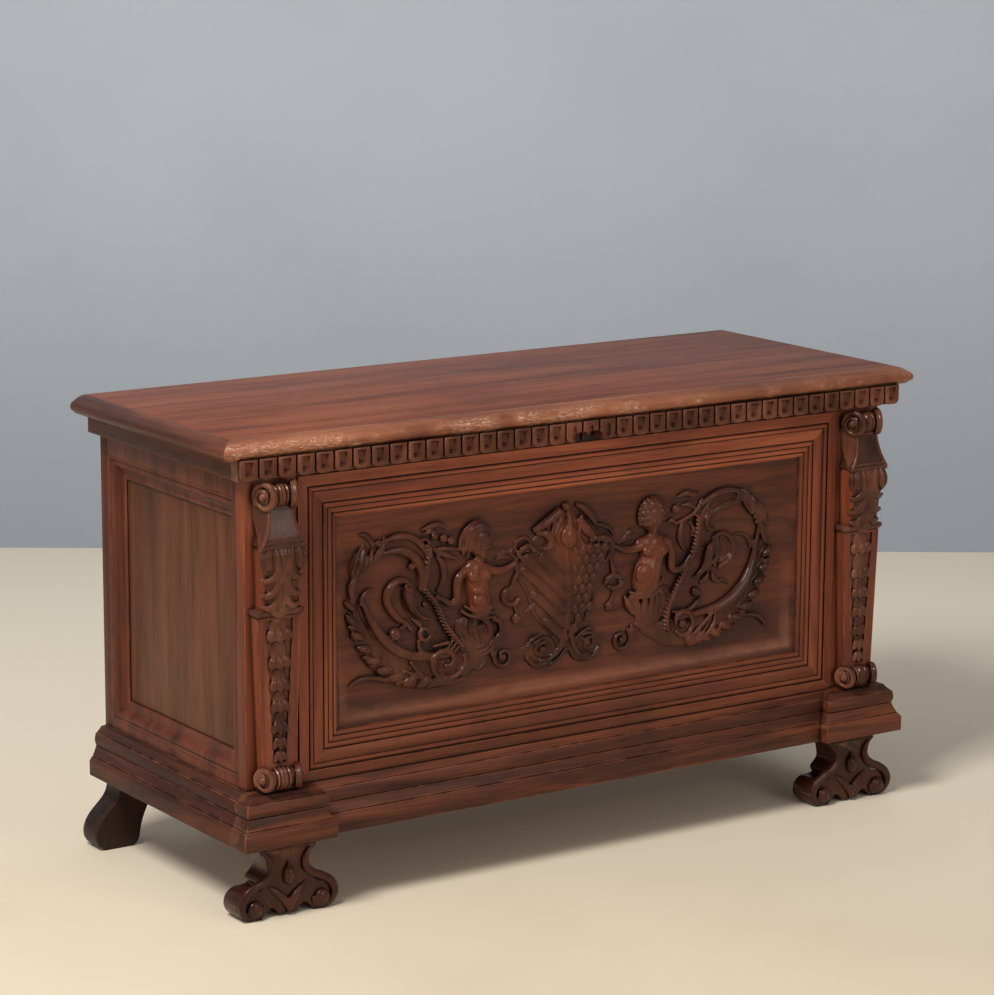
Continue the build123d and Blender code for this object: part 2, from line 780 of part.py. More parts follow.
with BuildPart() as lid_battens:
    for side in (-1, 1):
        slab(
            (side * batten_place - batten_width / 2, side * batten_place + batten_width / 2),
            (batten_end_gap, lid_back - batten_end_gap),
            (lid_low - batten_thickness, lid_low),
        )
save(lid_battens, "lid_battens")

# ---- hinges --------------------------------------------------------------------------------
third = hinge_length / 3
outer_knuckles = (-third, third)
knuckle_length = third - knuckle_split


def hinge_leaf(side, low, knuckles, holes):
    """Half of one butt hinge: its leaf, the knuckles that belong to it and its screw holes."""
    middle = side * hinge_place
    with BuildPart() as leaf:
        slab(
            (middle - hinge_length / 2, middle + hinge_length / 2),
            (lid_back - hinge_reach, lid_back),
            (low, low + leaf_thickness),
        )
        for step in knuckles:
            ends = (middle + step - knuckle_length / 2, middle + step + knuckle_length / 2)
            slab(ends, (lid_back, axis_y), (low, low + leaf_thickness))
            with Locations(Location((middle + step, axis_y, axis_z), (0, 90, 0))):
                Cylinder(knuckle_radius, knuckle_length)
        with Locations(Location((middle, axis_y, axis_z), (0, 90, 0))):
            Cylinder(pin_radius + running_fit, hinge_length, mode=Mode.SUBTRACT)
        with Locations(*holes):
            add(screw_hole, mode=Mode.SUBTRACT)
    return leaf


case_holes = [(x, screw_row_y, carcass_top) for x in hinge_screw_places(1)]
save_pair(
    hinge_leaf(1, carcass_top - leaf_thickness, outer_knuckles, case_holes), "hinge_case_leaf"
)
lid_holes = [Location((x, screw_row_y, lid_low), (180, 0, 0)) for x in hinge_screw_places(1)]
save_pair(hinge_leaf(1, lid_low, (0,), lid_holes), "hinge_lid_leaf")

with BuildPart() as hinge_pins:
    outer_face = third + knuckle_length / 2
    for side in (-1, 1):
        with Locations(Location((side * hinge_place, axis_y, axis_z), (0, 90, 0))):
            Cylinder(pin_radius, 2 * outer_face)
        for end in (-1, 1):
            head_x = side * hinge_place + end * (outer_face + pin_head / 2)
            with Locations(Location((head_x, axis_y, axis_z), (0, 90, 0))):
                Cylinder(pin_head_radius, pin_head)
save(hinge_pins, "hinge_pins")

with BuildPart() as hinge_case_screws:
    for side in (-1, 1):
        with Locations(*[(x, screw_row_y, carcass_top) for x in hinge_screw_places(side)]):
            add(wood_screw)
save(hinge_case_screws, "hinge_case_screws")

with BuildPart() as hinge_lid_screws:
    for side in (-1, 1):
        with Locations(
            *[Location((x, screw_row_y, lid_low), (180, 0, 0)) for x in hinge_screw_places(side)]
        ):
            add(wood_screw)
save(hinge_lid_screws, "hinge_lid_screws")

# ---- lock ----------------------------------------------------------------------------------
with BuildPart() as escutcheon_plate:
    with BuildSketch(front_view(0, 0)):
        with Locations((0, escutcheon_middle)):
            RectangleRounded(escutcheon[0], escutcheon[1], escutcheon_corner)
    extrude(amount=escutcheon[2])
    keyhole()
save(escutcheon_plate, "escutcheon")

case_inner_half = lock_width / 2 - lock_wall
case_inner_y = (lock_flange_back, lock_case_back - lock_wall)
guide_x = (-case_inner_half, bolt_guide_end)
with BuildPart() as lock_case:
    slab((-lock_flange / 2, lock_flange / 2), (frame_thickness, lock_flange_back), (lock_low, lock_top))
    slab((-lock_width / 2, lock_width / 2), (lock_flange_back, lock_case_back), (lock_low, lock_top))
    cut((-case_inner_half, case_inner_half), case_inner_y, (lock_low + lock_wall, lock_top - lock_wall))
    cut(
        (link_x - lock_slot / 2, link_x + lock_slot / 2),
        (lock_flange_back + bolt_play, case_inner_y[1] - bolt_play),
        (lock_top - lock_wall, lock_top),
    )
    slab(guide_x, case_inner_y, (bolt_low - bolt_side_play - lock_wall, bolt_low - bolt_side_play))
    slab(guide_x, case_inner_y, (bolt_high + bolt_side_play, bolt_high + bolt_side_play + lock_wall))
    keyhole()
    with Locations(*lock_screw_places()):
        add(screw_hole, mode=Mode.SUBTRACT)
save(lock_case, "lock_case")

with BuildPart() as lock_screws:
    with Locations(*lock_screw_places()):
        add(wood_screw)
save(lock_screws, "lock_screws")

with BuildPart() as lock_bolt:
    slab((bolt_tip - bolt_length, bolt_tip), bolt_y, (bolt_low, bolt_high))
    cut((-bolt_width / 2, bolt_width / 2), bolt_y, (bolt_low, bolt_low + bolt_height / 4))
save(lock_bolt, "lock_bolt")

with BuildPart() as lock_link:
    slab(
        (link_x - link_thickness / 2, link_x + link_thickness / 2),
        (link_y - link_width / 2, link_y + link_width / 2),
        (lid_low - link_drop, lid_low),
    )
    slab(
        (link_x - link_plate[0] / 2, link_x + link_plate[0] / 2),
        (link_y - link_plate[1] / 2, link_y + link_plate[1] / 2),
        (link_plate_low, lid_low),
    )
    cut(
        (link_x - link_thickness, link_x + link_thickness),
        (bolt_y[0] - bolt_play, bolt_y[1] + bolt_play),
        (bolt_low - bolt_play, bolt_high + bolt_play),
    )
    with Locations(*[Location((x, link_y, link_plate_low), (180, 0, 0)) for x in link_screw_x]):
        add(screw_hole, mode=Mode.SUBTRACT)
save(lock_link, "lock_link")

with BuildPart() as lock_link_screws:
    with Locations(*[Location((x, link_y, link_plate_low), (180, 0, 0)) for x in link_screw_x]):
        add(wood_screw)
save(lock_link_screws, "lock_link_screws")
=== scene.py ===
import json
import math

import bmesh
import bpy
import numpy as np
from mathutils import Matrix, Vector


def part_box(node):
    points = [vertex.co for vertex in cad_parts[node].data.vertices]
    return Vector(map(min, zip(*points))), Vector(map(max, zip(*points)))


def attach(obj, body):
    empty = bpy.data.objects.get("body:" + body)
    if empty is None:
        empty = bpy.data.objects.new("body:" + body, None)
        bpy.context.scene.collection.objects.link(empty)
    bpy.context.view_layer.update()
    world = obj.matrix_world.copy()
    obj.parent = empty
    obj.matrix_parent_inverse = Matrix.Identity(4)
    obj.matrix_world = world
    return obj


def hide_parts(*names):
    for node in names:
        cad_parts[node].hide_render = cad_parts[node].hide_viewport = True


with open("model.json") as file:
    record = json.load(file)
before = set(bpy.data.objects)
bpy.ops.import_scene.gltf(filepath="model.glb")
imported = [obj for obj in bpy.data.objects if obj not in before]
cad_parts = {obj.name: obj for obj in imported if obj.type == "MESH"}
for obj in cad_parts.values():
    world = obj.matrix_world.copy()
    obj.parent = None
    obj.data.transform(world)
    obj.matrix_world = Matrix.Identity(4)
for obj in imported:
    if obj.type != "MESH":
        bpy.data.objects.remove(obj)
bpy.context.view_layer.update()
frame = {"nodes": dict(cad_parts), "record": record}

# ---- Viewpoint -----------------------------------------------------------------------------
# The chest is looked at from its front left, a little above the lid, through a long lens.
view_yaw, view_pitch, view_roll = (math.radians(a) for a in (33.961, -11.545, 0.276))
view_place = (-2.9498, -4.35565, 1.6126)
lens_length = 120.62
ahead = Vector((
    math.sin(view_yaw) * math.cos(view_pitch),
    math.cos(view_yaw) * math.cos(view_pitch),
    math.sin(view_pitch),
))
rightward = Vector((math.cos(view_yaw), -math.sin(view_yaw), 0))
upward = rightward.cross(ahead)
lens = bpy.data.cameras.new("camera")
lens.lens = lens_length
camera = bpy.data.objects.new("camera", lens)
bpy.context.scene.collection.objects.link(camera)
tilt = (
    rightward * math.cos(view_roll) + upward * math.sin(view_roll),
    upward * math.cos(view_roll) - rightward * math.sin(view_roll),
    -ahead,
)
camera.matrix_world = Matrix.Translation(view_place) @ Matrix(
    [[side[row] for side in tilt] for row in range(3)]
).to_4x4()
bpy.context.scene.camera = camera
bpy.context.scene.view_settings.view_transform = "Standard"


# ---- Room ----------------------------------------------------------------------------------
# A pale floor runs back to a grey-blue wall. A wide soft lamp hangs over the chest, and
# weaker ones fill in from the front and the left.
def paint(red, green, blue):
    """A colour given on the 0-255 screen scale, as the linear colour a shader takes."""
    linear = [c / 255 / 12.92 if c < 10.3 else ((c / 255 + 0.055) / 1.055) ** 2.4
              for c in (red, green, blue)]
    return (*linear, 1.0)


class Wire:
    """One socket of a material, ready for Python arithmetic."""

    def __init__(self, finish, socket):
        self.finish, self.socket = finish, socket

    def worked_out(self, operation, first, second):
        """One Math node on two sockets or numbers."""
        return self.finish.node("Math", {"operation": operation}, {0: first, 1: second})

    def __add__(self, other):
        return self.worked_out("ADD", self, other)

    def __radd__(self, other):
        return self.worked_out("ADD", other, self)

    def __mul__(self, other):
        return self.worked_out("MULTIPLY", self, other)

    def __rmul__(self, other):
        return self.worked_out("MULTIPLY", other, self)


class Finish:
    """A material and its nodes."""

    def __init__(self, name):
        self.material = bpy.data.materials.new(name)
        self.material.use_nodes = True
        self.tree = self.material.node_tree
        self.tree.nodes.clear()

    def node(self, kind, settings=None, inputs=None, output=0):
        """Add a node: settings first, then socket values or wires; gives one output, if any."""
        made = self.tree.nodes.new("ShaderNode" + kind)
        for key, value in (settings or {}).items():
            if key == "stops":
                ramp = made.color_ramp
                while len(ramp.elements) < len(value):
                    ramp.elements.new(1.0)
                for element, (place, colour) in zip(ramp.elements, value):
                    element.position, element.color = place, colour
            else:
                setattr(made, key, value)
        for key, value in (inputs or {}).items():
            if isinstance(value, Wire):
                self.tree.links.new(value.socket, made.inputs[key])
            else:
                made.inputs[key].default_value = value
        return Wire(self, made.outputs[output]) if len(made.outputs) else None

    def mix(self, share, first, second):
        """Mix two colours; share 0 gives the first."""
        return self.node("Mix", {"data_type": "RGBA"}, {0: share, 6: first, 7: second},
                         output=2)

    def mapped(self, place, **settings):
        """A place moved, turned or scaled before a pattern reads it."""
        return self.node("Mapping", {}, {"Vector": place, **settings})

    def measure(self, operation, first, second):
        """One number from two vectors: their dot product or their distance."""
        return self.node("VectorMath", {"operation": operation}, {0: first, 1: second},
                         output=1)

    def noise(self, place, scale, detail=3.0, rough=0.55, twist=0.0):
        """Cloudy grey pattern; a larger scale makes it finer."""
        return self.node("TexNoise", {}, {
            "Vector": place, "Scale": scale, "Detail": detail,
            "Roughness": rough, "Distortion": twist})

    def fade(self, value, low, high):
        """0 below low, 1 above high, smooth between."""
        return self.node("MapRange", {"interpolation_type": "SMOOTHSTEP"},
                         {0: value, 1: low, 2: high, 3: 0.0, 4: 1.0})

    def surface(self, colour, roughness, bump=None, bump_depth=0.001, bump_share=1.0,
                clear=None, **fixed):
        """Close the material; clear is the share that is seen straight through."""
        inputs = {key.replace("_", " "): value for key, value in fixed.items()}
        inputs.update({"Base Color": colour, "Roughness": roughness})
        if bump is not None:
            inputs["Normal"] = self.node("Bump", {}, {
                "Height": bump, "Distance": bump_depth, "Strength": bump_share})
        shown = self.node("BsdfPrincipled", {}, inputs)
        if clear is not None:
            shown = self.node("MixShader", {}, {0: clear, 1: shown,
                                                2: self.node("BsdfTransparent")})
        self.node("OutputMaterial", {}, {"Surface": shown})
        return self.material


def room_finish(name, tone, stain, far_tone, direction, near, far, roughness):
    """Plain paint, a little cloudy, that turns to far_tone along a direction: painted light and
    shade.

    It is clear from behind, so the wall never stands in the way.
    """
    finish = Finish(name)
    place = finish.node("TexCoord", output=3)
    clouds = finish.noise(place, 1.3, 4.0)
    colour = finish.mix(finish.fade(clouds, 0.35, 0.7), tone, stain)
    along = finish.measure("DOT_PRODUCT", place, direction)
    # painted light and shade: the paint turns to far_tone along the direction
    colour = finish.mix(finish.fade(along, near, far), colour, far_tone)
    behind = finish.node("NewGeometry", output=6)
    return finish.surface(colour, roughness, clear=behind)


def sheet_of_room(name, centre, across, along, material):
    """A flat piece of the room: floor or wall."""
    shape = bmesh.new()
    bmesh.ops.create_grid(shape, x_segments=1, y_segments=1, size=0.5)
    for vertex in shape.verts:
        vertex.co = Vector(centre) + vertex.co.x * Vector(across) + vertex.co.y * Vector(along)
    mesh = bpy.data.meshes.new(name)
    shape.to_mesh(mesh)
    shape.free()
    mesh.materials.append(material)
    thing = bpy.data.objects.new(name, mesh)
    bpy.context.scene.collection.objects.link(thing)


level_ahead = Vector((math.sin(view_yaw), math.cos(view_yaw), 0))
wall_foot = Vector((1.132, 1.7036, 0))
room_width, floor_length, wall_height = 14, 10, 8
# painted light on the floor, lighter towards the wall; painted shade on the wall, darker at its
# foot
sheet_of_room("floor", wall_foot - floor_length / 2 * level_ahead, room_width * rightward,
              floor_length * level_ahead,
              room_finish("floor_paint", paint(226, 206, 176), paint(214, 192, 160),
                          paint(251, 237, 214), level_ahead, -2.0, 1.6, 0.8))
sheet_of_room("wall", wall_foot + Vector((0, 0, wall_height / 2)), room_width * rightward,
              (0, 0, wall_height),
              room_finish("wall_paint", paint(189, 196, 205), paint(182, 190, 199),
                          paint(161, 168, 178), (0, 0, 1), 1.1, 0.0, 0.9))

for name, place, aim, size, watts in (
    ("lamp_over", (-2.3, -1.0, 3.3), (0.0, 0.1, 0.4), 1.2, 116.0),
    ("lamp_front", (1.0, -4.6, 1.7), (0.0, 0.0, 0.4), 2.0, 34.0),
    ("lamp_left", (-4.4, -1.2, 1.8), (0.0, 0.0, 0.4), 2.0, 11.0),
):
    light = bpy.data.lights.new(name, "AREA")
    light.energy, light.size = watts, size
    lamp = bpy.data.objects.new(name, light)
    toward = Vector(aim) - Vector(place)
    lamp.matrix_world = (Matrix.Translation(place)
                         @ toward.to_track_quat("-Z", "Y").to_matrix().to_4x4())
    bpy.context.scene.collection.objects.link(lamp)

air = bpy.data.worlds.new("air")
air.use_nodes = True
daylight = air.node_tree.nodes["Background"].inputs
daylight["Color"].default_value = paint(235, 235, 235)
daylight["Strength"].default_value = 0.37
bpy.context.scene.world = air


# ---- Walnut frame, sides, plinth and lid ---------------------------------------------------
# Every flat or moulded piece is sawn walnut, waxed for centuries: its arrises are rubbed
# round and pale, partly wear and partly painted highlight; shade is painted dark into the
# corners and grooves; and the grain runs along the piece.
body_of = {node: body for body, nodes in frame["record"]["behaviour"]["bodies"].items()
           for node in nodes}


# painted shade for the corners and for the grooves
corner_shade_tone, groove_shade_tone = paint(26, 12, 7), paint(34, 15, 9)
# painted light for faces that turn up
top_light_tone = paint(158, 104, 78)
scuff_and_highlight_tone, bare_wood_tone = paint(162, 100, 70), paint(228, 190, 158)
rubbed_corner = 0.0035  # how far from an arris the wood is rubbed
grain_across, grain_along = 26.0, 1.6  # streaks to a metre, over and along the grain
pores_across, pores_along = 520.0, 16.0


def walnut(name, along, deep, middle, light, shift=0.0, rub=0.7, shade_strength=0.8, gloss=0.42,
           rub_and_highlight_tone=(172, 102, 62), shade_reach=0.008, scars=None, top_light_share=0.0):
    """Waxed walnut whose grain runs along x, y or z.

    scars is the middle of a worn nose, seen along x; the top-light share paints light from
    above onto what faces up.
    """
    finish = Finish(name)
    place = finish.node("TexCoord", output=3)
    sway = finish.noise(place, 2.2, 2.0)
    place = finish.node("VectorMath", {"operation": "MULTIPLY_ADD"}, {
        0: finish.node("CombineXYZ", {}, {0: sway, 1: sway, 2: sway}),
        1: (0.02, 0.02, 0.02), 2: place})
    streak_scale = [grain_along if axis == along else grain_across for axis in "xyz"]
    pore_scale = [pores_along if axis == along else pores_across for axis in "xyz"]
    streak_place = finish.mapped(place, Location=(shift, shift * 0.7, shift * 1.3),
                                 Scale=streak_scale)
    streaks = finish.noise(streak_place, 1.0, 5.0, 0.6, 0.6)
    pores = finish.noise(finish.mapped(place, Scale=pore_scale), 1.0, 2.0, 0.5)
    clouds = finish.noise(finish.mapped(place, Location=(shift, -shift, shift)), 4.2)
    colour = finish.node("ValToRGB", {"stops": (
        (0.3, paint(*deep)), (0.47, paint(*middle)), (0.62, paint(*light)),
        (0.74, paint(*middle)))}, {0: streaks})
    colour = finish.mix(finish.fade(clouds, 0.45, 0.75) * 0.45, colour, paint(*deep))
    colour = finish.mix(finish.fade(pores, 0.56, 0.72) * 0.5, colour, paint(*deep))
    round_normal = finish.node("Bevel", {"samples": 4}, {"Radius": rubbed_corner})
    true_normal = finish.node("NewGeometry", output=1)
    turn = finish.measure("DOT_PRODUCT", round_normal, true_normal)
    inner = finish.node("AmbientOcclusion", {"samples": 6, "only_local": False},
                        {"Distance": shade_reach}, output=1)
    patch = finish.noise(place, 38.0, 4.0, 0.65)
    # arrises painted pale: partly wear, partly painted highlight
    edge = finish.fade(turn, 0.985, 0.9) * finish.fade(inner, 0.6, 0.95)
    worn = edge * finish.fade(patch, 0.4, 0.62) * rub
    groove = finish.fade(turn, 0.995, 0.95) * finish.fade(inner, 0.88, 0.62)
    # painted shade: the wood darkens into corners and along grooves where the occlusion finds
    # them
    colour = finish.mix(finish.fade(inner, 0.95, 0.45) * shade_strength, colour, corner_shade_tone)
    colour = finish.mix(groove * shade_strength, colour, groove_shade_tone)
    colour = finish.mix(worn, colour, paint(*rub_and_highlight_tone))
    if top_light_share:
        # painted light from above: faces turned up a little are painted paler
        upward = finish.node("SeparateXYZ", {}, {0: true_normal}, output=2)
        colour = finish.mix(finish.fade(upward, 0.04, 0.3) * finish.fade(inner, 0.1, 0.6)
                            * (0.55 + finish.fade(patch, 0.35, 0.6) * 0.45) * top_light_share,
                            colour, top_light_tone)
    if scars:
        # chips and scratches, thickest along the top of the nose and at the left corner
        seen_along_x = finish.node("VectorMath", {"operation": "MULTIPLY"},
                                   {0: place, 1: (0.0, 1.0, 1.0)})
        away = finish.measure("DISTANCE", seen_along_x, scars)
        along_edge = finish.node("SeparateXYZ", {}, {0: place})
        nicks = finish.noise(finish.mapped(place, Rotation=(0.0, 0.4, 0.12),
                                           Scale=(85, 260, 420)), 1.0, 6.0, 0.8, 1.4)
        spread = finish.noise(place, 8.0, 4.0, 0.65) + finish.fade(
            along_edge, -0.5, -0.66) * 0.16
        bare = (finish.fade(nicks, 0.52, 0.6) * finish.fade(spread, 0.47, 0.58)
                * finish.fade(away, 0.024, 0.008))
        # a pale band along the top of the nose: partly scuffing, partly painted highlight
        nose_scuff_and_highlight = finish.fade(spread, 0.34, 0.6) * finish.fade(away, 0.026, 0.008)
        colour = finish.mix(nose_scuff_and_highlight * 0.55, colour, scuff_and_highlight_tone)
        colour = finish.mix(bare * 0.9, colour, bare_wood_tone)
        worn = worn + bare
    roughness = gloss + 0.16 * patch + 0.12 * finish.fade(pores, 0.5, 0.7) + 0.2 * worn
    height = pores * -0.35 + patch * 0.5
    return finish.surface(colour, roughness, height, bump_depth=0.0006, bump_share=0.5,
                          Coat_Weight=0.06, Coat_Roughness=0.3,
                          Specular_IOR_Level=0.28)


def settle(name, shape, material, body, stands_for=(), smooth=32.0):
    """Turn a finished bmesh into a piece that rides on its body."""
    mesh = bpy.data.meshes.new(name)
    shape.to_mesh(mesh)
    shape.free()
    if "custom_normal" in mesh.attributes:
        mesh.attributes.remove(mesh.attributes["custom_normal"])
    mesh.materials.clear()
    mesh.materials.append(material)
    for face in mesh.polygons:
        face.material_index = 0
    mesh.shade_smooth()
    mesh.set_sharp_from_angle(angle=math.radians(smooth))
    piece = bpy.data.objects.new(name, mesh)
    bpy.context.scene.collection.objects.link(piece)
    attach(piece, body)
    if stands_for:
        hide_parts(*stands_for)
    return piece


def merged(node):
    """A bmesh copy of one saved piece, its loose triangles joined into faces."""
    shape = bmesh.new()
    shape.from_mesh(frame["nodes"][node].data)
    bmesh.ops.remove_doubles(shape, verts=shape.verts, dist=1e-5)
    bmesh.ops.dissolve_limit(shape, angle_limit=math.radians(0.5), verts=shape.verts,
                             edges=shape.edges, use_dissolve_boundaries=False)
    return shape


def sliced(shape, point, normal, drop_beyond=False):
    """Cut a bmesh through by a plane; drop_beyond takes off what lies past it and closes it."""
    bmesh.ops.bisect_plane(shape, geom=shape.verts[:] + shape.edges[:] + shape.faces[:],
                           plane_co=point, plane_no=normal, clear_outer=drop_beyond)
    if drop_beyond:
        bmesh.ops.holes_fill(shape, edges=[e for e in shape.edges if e.is_boundary], sides=0)


def eased(shape, edges, offset, steps):
    """Round some edges off, this far to each side of them."""
    bmesh.ops.bevel(shape, geom=edges, offset=offset, segments=steps, profile=0.5,
                    affect="EDGES", material=-1, clamp_overlap=True)


# quirks scored round the plinth: over the band, at the neck and under the top slope
quirk_heights = (0.1455, 0.1625, 0.1835)
quirk_half, quirk_depth = 0.001, 0.0022


def rubbed(node, material, edge=0.0012, steps=2, shrunk=0.0, across=()):
    """Stand a copy with rubbed arrises in for a saved piece.

    shrunk draws its four edges in; across lists the axes it is scored on, for the plinth.
    """
    shape = merged(node)
    if shrunk:
        low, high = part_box(node)
        for vertex in shape.verts:
            for axis in (0, 1):
                inward = (low[axis] + high[axis]) / 2 - vertex.co[axis]
                vertex.co[axis] += math.copysign(shrunk, inward)
    arrises = [e for e in shape.edges
               if e.is_manifold and e.is_convex and e.calc_face_angle(0) > 0.6]
    eased(shape, arrises, edge, steps)
    bmesh.ops.dissolve_degenerate(shape, edges=shape.edges, dist=1e-6)
    for height in quirk_heights if across else ():
        for rise in (-quirk_half, 0.0, quirk_half):
            sliced(shape, (0, 0, height + rise), (0, 0, 1))
        for vertex in shape.verts:
            if abs(vertex.co.z - height) < 1e-5:
                for axis in across:
                    facing = {math.copysign(1, face.normal[axis]) for face in vertex.link_faces
                              if abs(face.normal[axis]) > 0.3}
                    if len(facing) == 1:
                        vertex.co[axis] -= facing.pop() * quirk_depth
    return settle(node + "_worn", shape, material, body_of[node], (node,))


frame_x = walnut("walnut_rails", "x", (88, 40, 24), (144, 71, 43), (174, 95, 60), shade_strength=0.85)
# painted shade: the bottom rails and moulding get darker walnut, as the light falls off towards
# the foot
frame_low_shaded = walnut("walnut_low_rails_shaded", "x", (58, 24, 12), (94, 44, 23), (120, 61, 34), 2.3,
                   shade_strength=0.85)
frame_z = walnut("walnut_stiles", "z", (74, 32, 16), (117, 55, 31), (143, 74, 43), 3.1,
                 shade_strength=0.85)
side_wood = walnut("walnut_side_frame", "z", (54, 22, 12), (85, 39, 23), (107, 52, 31), 5.3,
                   shade_strength=0.95)
side_panel_wood = walnut("walnut_side_panel", "z", (68, 36, 20), (92, 52, 31),
                         (108, 63, 38), 7.9)
plinth_wood = walnut("walnut_plinth", "x", (34, 13, 6), (78, 36, 18), (116, 60, 34), 11.0,
                     rub=0.65, shade_strength=0.95, gloss=0.46, rub_and_highlight_tone=(168, 104, 70))
plinth_side_wood = walnut("walnut_plinth_side", "y", (34, 13, 7), (66, 29, 15),
                          (94, 45, 25), 12.4, shade_strength=0.95, gloss=0.5)
# painted shade: the rear feet stand in shadow and get near-black walnut
rear_foot_shaded_wood = walnut("walnut_rear_feet_shaded", "z", (22, 10, 6), (48, 24, 16), (72, 40, 28), 13.6,
                        rub_and_highlight_tone=(120, 74, 52))
lid_wood = walnut("walnut_lid", "x", (84, 39, 25), (122, 62, 39), (138, 75, 49), 15.2,
                  gloss=0.46)
lid_edge_wood = walnut("walnut_lid_moulding", "x", (74, 36, 23), (120, 65, 43),
                       (150, 90, 60), 17.0, rub=0.9, rub_and_highlight_tone=(196, 146, 106),
                       scars=(0.0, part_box("lid_moulding_front")[0].y + 0.006, 0.722))
lid_side_wood = walnut("walnut_lid_side", "y", (48, 22, 13), (82, 41, 26), (108, 58, 38), 18.6)
plain_wood = walnut("plain_board", "x", (80, 50, 31), (114, 76, 50), (138, 97, 67), 21.0,
                    rub=0.25, shade_strength=0.5, gloss=0.62)
plain_upright = walnut("plain_upright", "z", (78, 49, 31), (110, 73, 48), (134, 94, 65),
                       24.0, rub=0.25, shade_strength=0.5, gloss=0.62)

rubbed("front_top_rail", frame_x)
rubbed("front_bottom_rail", frame_low_shaded)
for node in ("front_stile_left", "front_stile_right"):
    rubbed(node, frame_z)
for side in ("left", "right"):
    for node in ("side_top_rail_", "side_bottom_rail_"):
        rubbed(node + side, side_wood)
    rubbed("side_moulding_" + side, side_wood, edge=0.0007)
    rubbed("side_panel_" + side, side_panel_wood)
    rubbed("plinth_block_" + side, plinth_wood, across=(0, 1))
    rubbed("plinth_side_" + side, plinth_side_wood, across=(0,))
    rubbed("rim_strip_" + side, lid_side_wood)
    rubbed("lid_moulding_side_" + side, lid_side_wood)
    rubbed("rear_foot_" + side, rear_foot_shaded_wood)
rubbed("plinth_front", plinth_wood, edge=0.001, across=(1,))
rubbed("lid_board", lid_wood, shrunk=0.0007)
rubbed("lid_moulding_front", lid_edge_wood)

# ---- Front frame moulding ------------------------------------------------------------------
# Four lengths worked with planes to the same section, a fillet, beads and reeds between
# deep quirks, then mitred and planted inside the frame so that they hold the panel.
stile_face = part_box("front_stile_left")[0].y


def swell(start, end, rise, count=6):
    """Points of a rounded member of the section, from start to end, standing rise proud."""
    return [(start[0] + (end[0] - start[0]) * t,
             start[1] + (end[1] - start[1]) * t - rise * math.sin(math.pi * t) ** 0.7)
            for t in (i / count for i in range(count + 1))]


# (distance in from the outer edge, depth behind the stile face), in mm
moulding_section = [
    (0, 8), (0, -3), (16, -3), (16.6, -0.2), (17.8, -0.2),
    *swell((18.2, -2.0), (25, -1.0), 2.2), (25.2, 0.2), (25.7, 0.2),
    *swell((26.1, -0.8), (43.8, 1.4), 2.0, 8), (44.2, 3.8), (45.5, 3.8),
    *swell((45.9, 1.2), (53, 2.2), 1.8), (53.2, 3.2), (53.7, 3.2),
    *swell((54.1, 2.2), (61.6, 3.4), 1.4), (61.8, 4.3), (62.3, 4.3),
    *swell((62.7, 3.2), (69, 4.8), 1.6), (69.3, 6.9), (71, 6.9), (71, 8)]


open_mitre = 0.0003  # hairline left at each mitre by shrinkage


def mitred_length(node, material, start, end, inward):
    """Run the section from one mitred corner to the next; places are (x, z) in metres."""
    shape = bmesh.new()
    start, end, inward = (Vector((x, 0, z)) for x, z in (start, end, inward))
    along = (end - start).normalized()
    rim = [shape.verts.new(start + (inward + along) * s / 1000 + along * open_mitre
                           + Vector((0, stile_face + depth / 1000, 0)))
           for s, depth in moulding_section]
    profile = shape.faces.new(rim)
    grown = bmesh.ops.extrude_face_region(shape, geom=[profile], use_keep_orig=True)["geom"]
    for vertex in (g for g in grown if isinstance(g, bmesh.types.BMVert)):
        inset = (vertex.co - start).dot(inward)
        vertex.co += along * ((end - start).length - 2 * (inset + open_mitre))
    bmesh.ops.recalc_face_normals(shape, faces=shape.faces)
    return settle(node + "_run", shape, material, body_of[node], (node,), smooth=40.0)


frame_low_corner, frame_high_corner = (
    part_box("front_moulding_left")[0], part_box("front_moulding_right")[1])
west, east = frame_low_corner.x, frame_high_corner.x
foot_of_frame, head_of_frame = frame_low_corner.z, frame_high_corner.z
mitred_length("front_moulding_top", frame_x, (west, head_of_frame), (east, head_of_frame),
              (0, -1))
mitred_length("front_moulding_bottom", frame_low_shaded, (west, foot_of_frame),
              (east, foot_of_frame), (0, 1))
mitred_length("front_moulding_left", frame_z, (west, foot_of_frame), (west, head_of_frame),
              (1, 0))
mitred_length("front_moulding_right", frame_z, (east, foot_of_frame), (east, head_of_frame),
              (-1, 0))

# ---- Back, floor and inner pieces ----------------------------------------------------------
# Sawn and planed boards that are never seen with the lid shut: left without wax, so they
# are paler and duller than the outside.
for node in ("back_top_rail", "back_bottom_rail", "floor_board", "back_panel", "lid_battens",
             "floor_bearers"):
    rubbed(node, plain_wood)
for node in ("back_stile_left", "back_stile_right"):
    rubbed(node, side_wood)
rubbed("corner_posts", plain_upright)


# ---- Iron: plate, lock, link and hinges ----------------------------------------------------
# Forged and filed by hand, blacked with oil, rust brown where hands and damp reach it.
def forged_iron(name):
    """Hammered black iron with patches of brown rust."""
    finish = Finish(name)
    place = finish.node("TexCoord", output=3)
    hammer = finish.noise(place, 120.0)
    rust = finish.noise(place, 45.0, 5.0, 0.7)
    colour = finish.mix(finish.fade(rust, 0.5, 0.72), paint(48, 45, 43), paint(92, 58, 38))
    return finish.surface(colour, 0.42 + 0.3 * rust, hammer, bump_depth=0.0005, Metallic=0.85)


